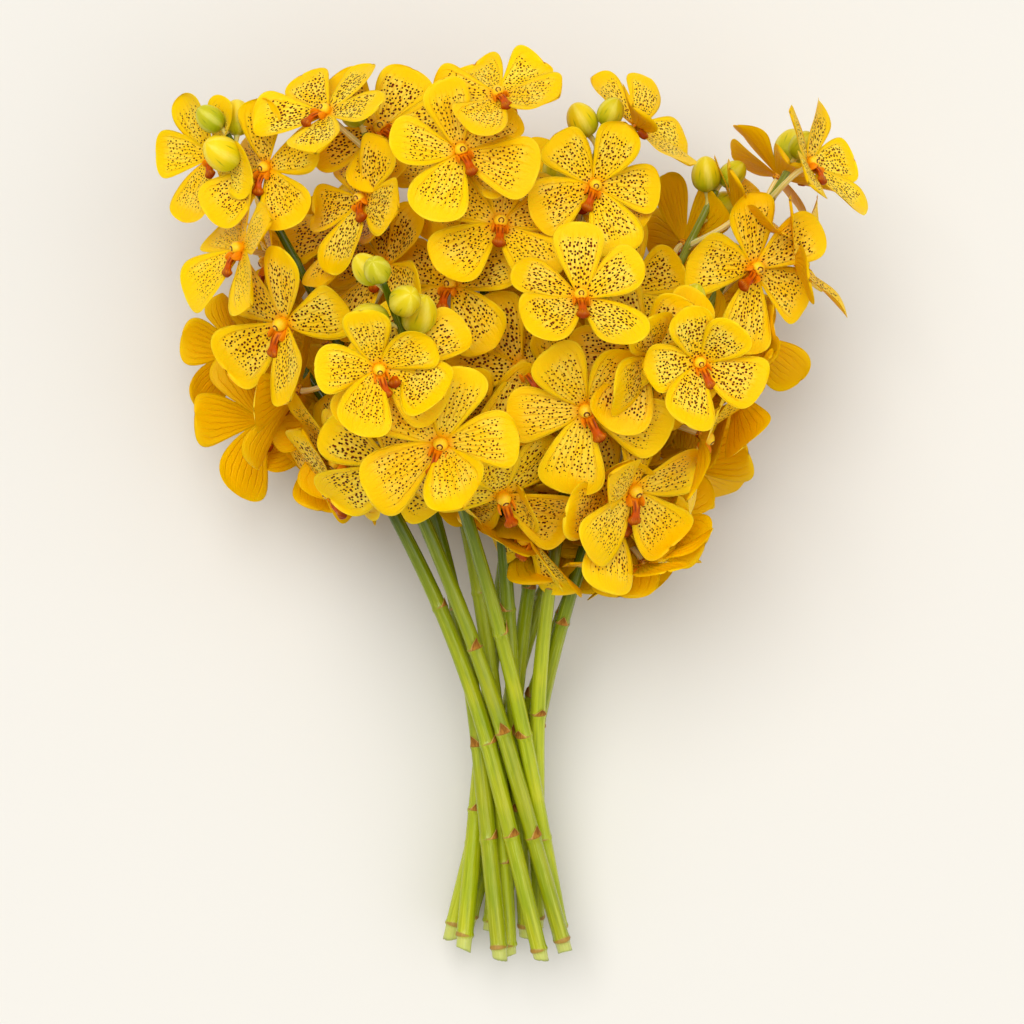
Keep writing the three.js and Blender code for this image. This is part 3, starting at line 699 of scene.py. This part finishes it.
# Pedicel: leaf's second number runs from the flower to the stem, and its third is 1 on its ribs.
def pedicelLook():
    look = Look("pedicel", {"Roughness": 0.42, "Subsurface Weight": 0.15, "Subsurface Scale": 0.0015})
    along, ridge = look.numbers("leaf", 1, 2)
    streak = look.noise(look.stretched(look.field("place"), 1.4, 1.4, 0.12))
    body = look.mix(srgb(240, 214, 110), srgb(212, 206, 110), look.rise(along, 0.35, 1.0))
    body = look.mix(body, srgb(252, 240, 196), look.rise(ridge + 0.4 * streak, 0.6, 1.1) * 0.7)
    look.feed("Base Color", body)
    look.feed("Roughness", 0.36 + 0.2 * streak)
    look.bump(streak + ridge, 0.0002, 0.5)
    return look.material


# Stem: leaf holds how far up the stem (0 to 1), the scar's ring at a node, and 1 on the bare stub below
# the lowest node; tone holds the stem's own shade.
def stemLook():
    look = Look("stem", {
        "Roughness": 0.3, "Specular IOR Level": 0.45, "Subsurface Weight": 0.12,
        "Subsurface Scale": 0.002, "Subsurface Radius": (0.7, 1.0, 0.2),
    })
    place, (up, scar, stub) = look.field("place"), look.numbers("leaf", 0, 1, 2)
    [shade] = look.numbers("tone", 0)
    streak = look.noise(look.stretched(place, 0.7, 0.7, 0.03), 4.0, 0.6)
    fibre = look.noise(look.stretched(place, 3.0, 3.0, 0.06))
    cloud = look.noise(look.stretched(place, 0.16, 0.16, 0.045), 3.0)
    # painted shade and light: the stem darkens towards the head as if in its shade, and its lower part
    # gets painted sunlit yellow patches
    paintedHeadShade = look.rise(up + 0.3 * cloud - 0.15, 0.35, 0.85)
    body = look.mix(srgb(160, 174, 2), srgb(66, 92, 0), paintedHeadShade)
    paintedSunPatches = look.rise(cloud + 0.25 * shade, 0.5, 0.85) * look.rise(up, 0.75, 0.3)
    body = look.mix(body, srgb(188, 188, 14), paintedSunPatches)
    body = look.mix(body, srgb(70, 98, 0), look.rise(shade, 0.5, 1.0) * 0.35)
    body = look.mix(body, srgb(218, 220, 60), look.rise(shade, 0.6, 0.0) * 0.45)
    body = look.mix(body, srgb(214, 222, 84), look.rise(streak, 0.5, 0.75) * 0.35)
    body = look.mix(body, srgb(80, 106, 0), look.rise(streak, 0.5, 0.28) * 0.4)
    body = look.mix(body, srgb(206, 214, 90), look.rise(fibre, 0.58, 0.7) * 0.25)
    body = look.mix(body, srgb(206, 210, 122), stub * (0.4 + 0.4 * fibre))
    scarTone = look.rise(scar + 0.5 * streak + 0.3 * fibre, 0.75, 1.15)
    brown = look.mix(srgb(192, 142, 62), srgb(134, 84, 26), fibre)
    body = look.mix(body, brown, scarTone * 0.85)
    look.feed("Base Color", body)
    look.feed("Roughness", 0.16 + 0.2 * streak + 0.3 * scarTone)
    look.bump(fibre * 0.4 + streak * 0.6 + scarTone * 0.8, 0.0003, 0.5)
    return look.material


# Cut end: leaf's first number is the share of the radius.
def cutLook():
    look = Look("cut_end", {"Roughness": 0.6, "Subsurface Weight": 0.2, "Subsurface Scale": 0.001})
    x, y = look.numbers("place", 0, 1)
    [rim] = look.numbers("leaf", 0)
    pore = look.voronoi(look.node("CombineXYZ", None, {0: x, 1: y, 2: 0.0}), 1.8)
    body = look.mix(srgb(214, 222, 158), srgb(150, 172, 60), look.rise(rim, 0.7, 0.98))
    body = look.mix(body, srgb(178, 168, 88), look.rise(pore, 0.3, 0.1) * 0.6)
    look.feed("Base Color", body)
    look.bump(pore, 0.0004, 0.7)
    return look.material


# Bract: leaf holds the share of the half width, the share of the height, and how green it is.
def bractLook():
    look = Look("bract", {"Roughness": 0.62, "Specular IOR Level": 0.15})
    share, along, green = look.numbers("leaf", 0, 1, 2)
    streak = look.noise(look.stretched(look.field("place"), 1.8, 0.35, 1), 3.0)
    dry = look.rise(streak + 0.4 * along, 0.4, 0.85)
    body = look.mix(srgb(176, 120, 40), srgb(124, 74, 14), dry)
    rim = look.rise(look.math("ABSOLUTE", share) + 0.5 * streak, 0.9, 1.2)
    body = look.mix(body, srgb(208, 170, 88), rim * 0.8)
    body = look.mix(body, srgb(150, 160, 60), green)
    look.feed("Base Color", body)
    look.feed("Roughness", 0.5 + 0.3 * streak)
    look.bump(streak, 0.0004, 0.7)
    return look.material


# Bud: leaf's second number runs from its stalk to its tip, and its third is 0 in its seams; tone's
# first is its ripeness.
def budLook():
    look = Look("bud", {
        "Roughness": 0.36, "Specular IOR Level": 0.25, "Subsurface Weight": 0.25,
        "Subsurface Scale": 0.002, "Subsurface Radius": (1.0, 0.8, 0.1),
    })
    along, rib = look.numbers("leaf", 1, 2)
    [ripe] = look.numbers("tone", 0)
    streak = look.noise(look.stretched(look.field("place"), 1.2, 1.2, 0.16), 3.0)
    up = along + 0.3 * streak
    young = look.mix(srgb(112, 138, 8), srgb(160, 172, 20), look.rise(up, 0.3, 1.0))
    grown = look.mix(srgb(196, 196, 10), srgb(244, 210, 8), look.rise(up, 0.3, 0.9))
    body = look.mix(young, grown, ripe)
    body = look.mix(body, srgb(246, 236, 110), look.rise(rib + 0.35 * streak, 0.8, 1.3) * 0.35)
    body = look.mix(body, srgb(120, 136, 4), look.rise(rib, 0.2, 0.02) * 0.6)
    look.feed("Base Color", body)
    look.feed("Roughness", 0.3 + 0.2 * streak)
    look.bump(streak, 0.0003, 0.5)
    return look.material


petalMaterial, columnMaterial, lipMaterial = petalLook(), columnLook(), lipLook()
pedicelMaterial, stemMaterial, cutMaterial = pedicelLook(), stemLook(), cutLook()
bractMaterial, budMaterial = bractLook(), budLook()
flowerLooks = [petalMaterial, columnMaterial, lipMaterial, pedicelMaterial]
stemLooks = [stemMaterial, cutMaterial, bractMaterial, budMaterial, pedicelMaterial]
print("made the looks")

# Flowers. A tepal's sizes are in millimetres, or shares of its half width.
petal = {
    "rows": 24, "around": 28, "thick": 0.34, "cup": 0.1, "cupStray": 0.09, "wave": 1.1, "twist": 0.22,
    "bow": 1.1, "uneven": 0.06, "groove": 0.5, "grooveWide": 0.16, "pleat": 0.16, "curl": 0.8,
}
column = {
    "rows": 20, "around": 22, "radius": 3.0, "length": 8.51, "drop": 1.5, "cap": 0.62, "hollow": 0.35,
}
lip = {
    "rows": 30, "around": 34, "width": 2.7, "depth": 1.5, "ridge": 0.5, "knobAt": 0.86,
    "path": [(0, -1.6, 0.6), (0, -6.2, 7.6), (0, -14.4, 5.6)],
}
lobe = {
    "rows": 10, "around": 14, "width": 2.2, "flat": 0.34,
    "path": [(2.0, -3.0, 1.0), (4.2, -4.0, 3.4), (3.2, -5.0, 6.6)],
}
pedicel = {"rows": 22, "around": 14, "radius": 1.25, "rib": 0.08, "ribs": 6, "bend": 9, "start": -0.4}


def placed(i, local):  # from a flower's own frame to the world
    return flowers["centre"][i] + flowers["scale"][i] * (local @ flowers["basis"][i])


# A tepal is a thin lens carried along its length. Its edges cup forward by the square of the share
# across, its rim waves, a groove runs along its middle, it turns a little on its own axis and its tip
# curls back by the fourth power of the share along. Each flower's numbers come from its own seed.
def tepalParts(i):
    random = np.random.default_rng(1000 + i)
    rows, around = petal["rows"], petal["around"]
    s = (0.004 + 0.9945 * np.sin(np.linspace(0, np.pi / 2, rows)))[None, :, None]
    theta = np.linspace(0, 2 * np.pi, around, endpoint=False)
    share, lens = np.cos(theta)[None, None], np.sin(theta)[None, None]
    cup, twist, lean = random.normal(0, 1, (3, tepalCount, 1, 1))
    phase, wobble = random.uniform(0, 2 * np.pi, (2, tepalCount, 1, 1))
    length, broad = tepalLength[:, None, None], tepalBroad[:, None, None]
    half = halfWidth(s, broad) * length * (1 + petal["uneven"] * np.sin(5 * s + wobble + 1.5 * share))
    w = share * half + petal["bow"] * lean * s * s
    h = lens * petal["thick"] * np.sqrt(np.maximum(1 - s**6, 0.0))
    h = h * (0.55 + 0.45 * np.sqrt(np.abs(lens)))
    h = h + (petal["cup"] + petal["cupStray"] * cup) * half * share**2 * 2 * np.minimum(s, 0.7)
    h = h + petal["wave"] * np.sin(3.2 * share + 8 * s + phase) * share**2 * s**2
    h = h + petal["twist"] * twist * share * half * s
    groove = np.exp(-((share / petal["grooveWide"]) ** 2)) * np.sin(np.pi * np.minimum(1.15 * s, 1))
    h = h - petal["groove"] * groove
    h = h + petal["pleat"] * np.sin(11 * share + 2 * phase) * np.sin(np.pi * s)
    h = h - petal["curl"] * (1 + 0.6 * cup) * s**4 * (1 - 0.5 * share**2)
    flat = [np.broadcast_to(values, w.shape).reshape(tepalCount, -1) for values in (s, w, h)]
    rings = placed(i, tepalPoints(flowers["pitch"][i], *flat)).reshape(tepalCount, rows, around, 3)
    front = 0.5 + 0.5 * np.sign(np.round(lens[0], 6))
    leaf = np.stack([np.broadcast_to(values, (rows, around)) for values in (share[0], s[0], front)], -1)
    shares, run = leaf[..., 0], leaf[..., 1]
    spotted = np.clip(random.normal(0.95, 0.12), 0.6, 1.1)
    parts = []
    for k in range(tepalCount):
        own = np.full((rows, around), i + 0.17 * k)  # shifts each tepal's pattern
        place = np.stack([shares * half[k], run * tepalLength[k], own], -1)
        tone = random.uniform(0, 1), spotted, 0
        parts.append({"rings": rings[k], "look": 0, "place": place, "leaf": leaf, "tone": tone})
    return parts


# A carried part's leaf is nothing, its share along and one more field.
def alongLeaf(rings, along, third=0.0):
    shape = rings.shape[:2]
    return np.stack([np.broadcast_to(values, shape) for values in (0.0, along[:, None], third)], -1)


# The column is a short thick finger whose end is rounded by the root of one minus a power, hollowed
# on its lower side under the cap.
def columnPart(i):
    t = np.sin(np.linspace(0, np.pi / 2, column["rows"]))
    end = np.clip((t - column["cap"]) / 0.375, 0, 1)
    path = np.stack([0 * t, 0.6 - column["drop"] * t**2, -2.4 + column["length"] * t], -1)
    around = np.linspace(0, 2 * np.pi, column["around"], endpoint=False)
    under = np.exp(-((np.mod(around + np.pi / 2 + np.pi, 2 * np.pi) - np.pi) ** 2) / 0.5)
    radius = column["radius"] * (0.78 + 0.3 * np.sin(np.pi * t**1.4) ** 2)
    radius = radius * np.sqrt(1 - 0.97 * end**2.2)
    hollow = column["hollow"] * np.exp(-((t - column["cap"]) ** 2) / 0.02)
    widths = radius[:, None] * (1 - hollow[:, None] * under)
    rings, place = carried(path, widths, column["around"], aside=(1, 0, 0))
    return {"rings": placed(i, rings), "look": 1, "place": place, "leaf": alongLeaf(rings, t, under)}


# The lip is a tongue with three ridges along its face and a two-lobed knob at its end, which closes by
# the root of one minus a square. Its two side lobes stand up beside the column.
def lipParts(i):
    t = np.linspace(0, 1, lip["rows"])
    path = bezier(*np.array(lip["path"]), lip["rows"])
    around = np.linspace(0, 2 * np.pi, lip["around"], endpoint=False)
    past = t - lip["knobAt"]
    knob = np.exp(-(past**2) / 0.012)
    close = np.where(past > 0, np.sqrt(np.clip(1 - (past / 0.145) ** 2, 0.02, 1)), 1)
    start = np.minimum(1, 0.45 + t / 0.25)
    wide = lip["width"] * (0.9 - 0.24 * np.sin(np.pi * t) + 0.42 * knob) * close * start
    deep = lip["depth"] * (0.8 + 0.8 * knob) * close * start
    ridges = (0.5 + 0.5 * np.cos(6 * (around - np.pi / 2))) * np.maximum(np.sin(around), 0)
    body = np.exp(-((t - 0.42) ** 2) / 0.06)[:, None]
    cleft = np.exp(-((np.abs(around - np.pi) - np.pi / 2) ** 2) / 0.06)
    shape = 1 + lip["ridge"] * ridges * body - 0.3 * cleft * knob[:, None]
    wide, deep = wide[:, None] * shape, deep[:, None] * shape
    rings, place = carried(path, wide, lip["around"], deep, aside=(1, 0, 0))
    leaf = alongLeaf(rings, t, np.maximum(ridges * body, 1 - body))
    parts = [{"rings": placed(i, rings), "look": 2, "place": place, "leaf": leaf}]
    t = np.linspace(0, 1, lobe["rows"])
    wide = lobe["width"] * (0.5 + 0.5 * np.sin(np.pi * (0.2 + 0.6 * t))) * np.sqrt(1 - 0.98 * t**4)
    for side in (-1, 1):
        path = bezier(*np.array(lobe["path"]) * (side, 1, 1), lobe["rows"])
        rings, place = carried(path, wide, lobe["around"], wide * lobe["flat"], aside=(0, 1, 0.3))
        leaf = alongLeaf(rings, 0.05 + 0.3 * t, 1.0)
        parts.append({"rings": placed(i, rings), "look": 2, "place": place, "leaf": leaf})
    return parts


# A pedicel leaves the flower's back straight, bends to its stem and joins it, with low ribs that turn
# slowly round it.
def pedicelPart(i):
    scale, basis = flowers["scale"][i], flowers["basis"][i]
    start = placed(i, np.array([0, 0, pedicel["start"]]))
    control = start - basis[2] * pedicel["bend"] * scale
    t = np.linspace(0, 1, pedicel["rows"])
    path = bezier(start, control, flowers["root"][i], pedicel["rows"])
    radius = pedicel["radius"] * (1 + 0.5 * np.exp(-t / 0.05) + 0.25 * np.maximum(t - 0.8, 0) / 0.2)
    angle = np.linspace(0, 2 * np.pi, pedicel["around"], endpoint=False)
    rib = np.cos(pedicel["ribs"] * angle + 5 * t[:, None])
    widths = radius[:, None] * (1 + pedicel["rib"] * rib)
    rings, place = carried(path, widths, pedicel["around"], aside=basis[0])
    return {"rings": rings, "look": 3, "place": place, "leaf": alongLeaf(rings, t, 0.5 + 0.5 * rib)}


for i, name in enumerate(flowerNames):
    parts = [*tepalParts(i), columnPart(i), *lipParts(i), pedicelPart(i)]
    piece = makePiece("orchid_" + name, parts, flowerLooks)
    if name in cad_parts:
        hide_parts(name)
print("made", len(flowerNames), "flowers")

# Stems
stem = {
    "around": 28, "step": 2.2, "stub": 7.0, "stubRadius": 0.9, "slant": 2.6, "nodes": 4,
    "nodeGap": 52.0, "swell": 0.4, "swellLength": 1.3, "rootSwell": 0.35, "rootLength": 2.2,
    "ragged": 0.35, "scarThin": 0.25, "scarWide": 0.5, "lowScarWide": 1.1,
}
bract = {
    "height": 5.2, "flowerHeight": 3.6, "halfAngle": 54, "thick": 0.28, "rows": 12, "around": 20,
    "flare": 0.8,
}
budShape = {
    "rows": 26, "around": 30, "seams": 5, "seam": 0.08, "stalkRadius": 1.05, "stalkRows": 12,
    "stalkAround": 12,
}


# A stem is a round tube that swells at each node by a bell curve, with a narrower stub below its
# lowest node, cut on a slant.
def stemParts(index):
    random = np.random.default_rng(50 + index)
    line = lines[index]
    nodes = stem["stub"] + random.uniform(-1.2, 1.5) + stem["nodeGap"] * np.arange(stem["nodes"])
    nodes[1:] += random.uniform(-14, 8, stem["nodes"] - 1)
    sides = np.pi / 2 + random.normal(0, 0.9, stem["nodes"])  # bracts are on the upper side mostly
    roots = line.bare + flowerSizes["spacing"] * np.arange(line.flowers)
    rows = np.arange(0, line.length, stem["step"])
    close = np.array([-1.6, -1.0, -0.5, 0, 0.5, 1.0, 1.6])
    rows = np.unique(np.concatenate([rows, *(close + node for node in nodes)]))
    rows = rows[(rows > 0.3) & (rows < line.length - 0.6)]
    angle = np.linspace(0, 2 * np.pi, stem["around"], endpoint=False)
    # the cut's face, its rim, the stem, and the rounded tip
    inner = np.array([0.05, 0.4, 0.72, 0.93])
    tip = np.array([0.97, 0.8, 0.45])
    face = len(inner)
    distance = np.concatenate([np.zeros(face + 1), rows, line.length - np.array([0.4, 0.12, 0.0])])
    share = np.concatenate([inner, np.ones(len(rows) + 1), tip])
    low = nodes[0]
    stub = np.clip((low - distance) / 1.2, 0, 1)
    radius = line.radius(distance) * share * (1 - (1 - stem["stubRadius"]) * stub)
    for node in nodes:
        swell = np.exp(-(((distance - node) / stem["swellLength"]) ** 2)) * (distance > low - 3)
        radius = radius + stem["swell"] * swell
    for root in roots:
        radius = radius + stem["rootSwell"] * np.exp(-(((distance - root) / stem["rootLength"]) ** 2))
    oval = 1 + 0.035 * np.cos(2 * angle + 0.02 * distance[:, None] + index)
    oval = oval + 0.02 * np.cos(5 * angle + index)
    slant = 0.5 + 0.5 * np.cos(angle - random.uniform(0, 2 * np.pi)) * share[:, None]
    ragged = np.sin(7 * angle + 3) * np.sin(3 * angle + index) * (share[:, None] > 0.9)
    cut = stem["slant"] * slant + stem["ragged"] * np.maximum(ragged, 0)
    shifted = distance[:, None] + cut * np.clip(1 - distance / stem["stub"], 0, 1)[:, None] ** 2
    level, over = levelFrame(line.along(distance))
    sideways, upwards = radius[:, None] * oval * np.cos(angle), radius[:, None] * oval * np.sin(angle)
    rings = line.at(shifted) + sideways[..., None] * level[:, None] + upwards[..., None] * over[:, None]
    # a node's scar is wide on its bract's side and thin on the other, and the lowest is the widest
    scar = 0
    for node, side in zip(nodes, sides):
        facing = 0.5 + 0.5 * np.cos(angle - side)
        wide = stem["scarThin"] + stem["lowScarWide" if node == low else "scarWide"] * facing
        scar = scar + (0.25 + 0.75 * facing) * np.exp(-(((shifted - node - 0.6 * facing) / wide) ** 2))
    place = np.stack([sideways, upwards, shifted], -1)
    up = np.clip((shifted - line.below * 0.2) / (line.bare * 1.15), 0, 1.2)
    leaf = np.stack([up, scar, np.broadcast_to(stub[:, None], scar.shape)], -1)
    leaf[:face + 1, :, 0] = share[:face + 1, None]
    look = np.where(np.arange(len(distance) - 1) < face, 1, 0)
    tone = random.uniform(0, 1), 0, 0
    parts = [{"rings": rings, "look": look, "place": place, "leaf": leaf, "tone": tone}]
    for node, side in zip(nodes[1:], sides[1:]):
        height = bract["height"] * random.uniform(0.6, 1.1)
        parts.append(bractPart(line, node + 0.2, side, height, random, 0))
    for root, flower in zip(roots, np.nonzero(flowers["index"] == index)[0]):
        side = sideOf(line, root, flowers["centre"][flower])
        parts.append(bractPart(line, root - 1.9, side, bract["flowerHeight"], random, 0.5))
    return parts


def sideOf(line, distance, target):  # the angle round a stem that faces a point
    level, over = levelFrame(line.along(distance))
    gap = target - line.at(distance)
    return math.atan2(gap @ over, gap @ level)


# A bract is a scale wrapped on its stem: its half angle falls from the base as one minus the share
# along to the power 1.1, and it stands off the stem by the square of that share.
def bractPart(line, distance, side, height, random, green):
    t = np.linspace(0, 1, bract["rows"])[:, None]
    theta = np.linspace(0, 2 * np.pi, bract["around"], endpoint=False)
    half = math.radians(bract["halfAngle"] * random.uniform(0.85, 1.1)) * (1 - 0.985 * t**1.1)
    angle = side - half * np.cos(theta) + 0.15 * random.normal() * t**2
    at = np.clip(distance + height * t[:, 0], 0, line.length)
    level, over = levelFrame(line.along(at))
    off = line.radius(at)[:, None] + stem["swell"] * 0.8
    off = off + bract["thick"] * np.sin(theta) * (1 - 0.6 * t)
    off = off + bract["flare"] * random.uniform(0.3, 1.2) * t**2
    out = np.cos(angle)[..., None] * level[:, None] + np.sin(angle)[..., None] * over[:, None]
    rings = line.at(at)[:, None] + off[..., None] * out
    fields = [np.broadcast_to(values, angle.shape) for values in (np.cos(theta), t, green, distance)]
    share, along, green, distance = fields
    place = np.stack([share * half * stemSizes["radius"], along * height, distance], -1)
    return {"rings": rings, "look": 2, "place": place, "leaf": np.stack([share, along, green], -1)}


# A bud is an egg: its radius is the root of one minus a square, fuller towards its stalk, with shallow
# seams.
def budParts(index):
    parts = []
    for j, bud in enumerate(buds[index]):
        radius, axis, base = bud["radius"], bud["axis"], bud["base"]
        ripe = np.clip((radius - 4.5) / 2.5, 0, 1) * (0.6 + 0.4 * chance(index * 9 + j))
        t = 0.5 - 0.5 * np.cos(np.linspace(0.06, np.pi - 0.06, budShape["rows"]))
        half = radius * budSizes["length"]
        path = bud["middle"] + axis * (2 * t - 1)[:, None] * half
        angle = np.linspace(0, 2 * np.pi, budShape["around"], endpoint=False)
        seam = np.abs(np.sin(budShape["seams"] / 2 * angle + 0.9 * t[:, None]))
        egg = np.sqrt(1 - (2 * t - 1) ** 2) * (1.06 - 0.22 * t)
        widths = radius * egg[:, None] * (1 - budShape["seam"] * (1 - seam) ** 3)
        level, over = levelFrame(bud["tangent"])
        aside = square(over + 0.3 * level, axis)
        rings, place = carried(path, widths, budShape["around"], aside=aside)
        leaf = alongLeaf(rings, t, seam)
        parts.append({"rings": rings, "look": 3, "place": place, "leaf": leaf, "tone": (ripe, 0, 0)})
        t = np.linspace(0, 1, budShape["stalkRows"])
        bend, top = base + bud["tangent"] * 2 + axis * 1.5, bud["middle"] - axis * half * 0.94
        wide = budShape["stalkRadius"] * (1 + 0.35 * (2 * t - 1) ** 2)
        rings, place = carried(bezier(base, bend, top, len(t)), wide, budShape["stalkAround"])
        leaf = alongLeaf(rings, 0.6 + 0.4 * t, 0.2)
        parts.append({"rings": rings, "look": 4, "place": place, "leaf": leaf})
    return parts


for index in range(len(sprays)):
    name = f"stem_{index + 1:02d}"
    piece = makePiece("orchid_" + name, stemParts(index) + budParts(index), stemLooks)
    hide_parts(name)
print("made", len(sprays), "stems")

# Floor, light and camera
floorEdge = 40
floorLook = {"Base Color": srgb(223, 220, 213), "Roughness": 0.9, "Specular IOR Level": 0.2}
floorMesh = bpy.data.meshes.new("floor")
corners = [(x * floorEdge, y * floorEdge, 0) for x, y in ((-1, -1), (1, -1), (1, 1), (-1, 1))]
floorMesh.from_pydata(corners, [], [(0, 1, 2, 3)])
floorMesh.materials.append(Look("floor", floorLook).material)
floor = bpy.data.objects.new("floor", floorMesh)
bpy.context.scene.collection.objects.link(floor)

# Each light is a wide sun: where it points, how many degrees it fills, its strength and its colour.
lights = {
    "key": {"towards": (0.5, -0.9, -2.4), "spread": 45, "power": 2.0, "colour": (1.0, 0.995, 0.98)},
    "fill": {"towards": (-1.3, 0.3, -2.0), "spread": 60, "power": 0.8, "colour": (1.0, 1.0, 1.0)},
}
for name, light in lights.items():
    data = bpy.data.lights.new(name, "SUN")
    data.angle, data.energy = math.radians(light["spread"]), light["power"]
    data.color = light["colour"]
    lamp = bpy.data.objects.new(name, data)
    x, y, z = light["towards"]
    lamp.rotation_euler = (math.atan2(math.hypot(x, y), -z), 0, math.atan2(y, x) - math.pi / 2)
    bpy.context.scene.collection.objects.link(lamp)

world = bpy.data.worlds.new("studio")
world.use_nodes = True
studio = world.node_tree.nodes["Background"]
studio.inputs["Color"].default_value = (1.0, 0.995, 0.985, 1)
studio.inputs["Strength"].default_value = 0.5
bpy.context.scene.world = world
bpy.context.scene.view_settings.view_transform = "Standard"

camera = bpy.data.objects.new("camera", bpy.data.cameras.new("camera"))
camera.location = (0.0018, 0.0018, 1.685)
camera.data.lens = 127.9
camera.data.sensor_width = 36
bpy.context.scene.collection.objects.link(camera)
bpy.context.scene.camera = camera
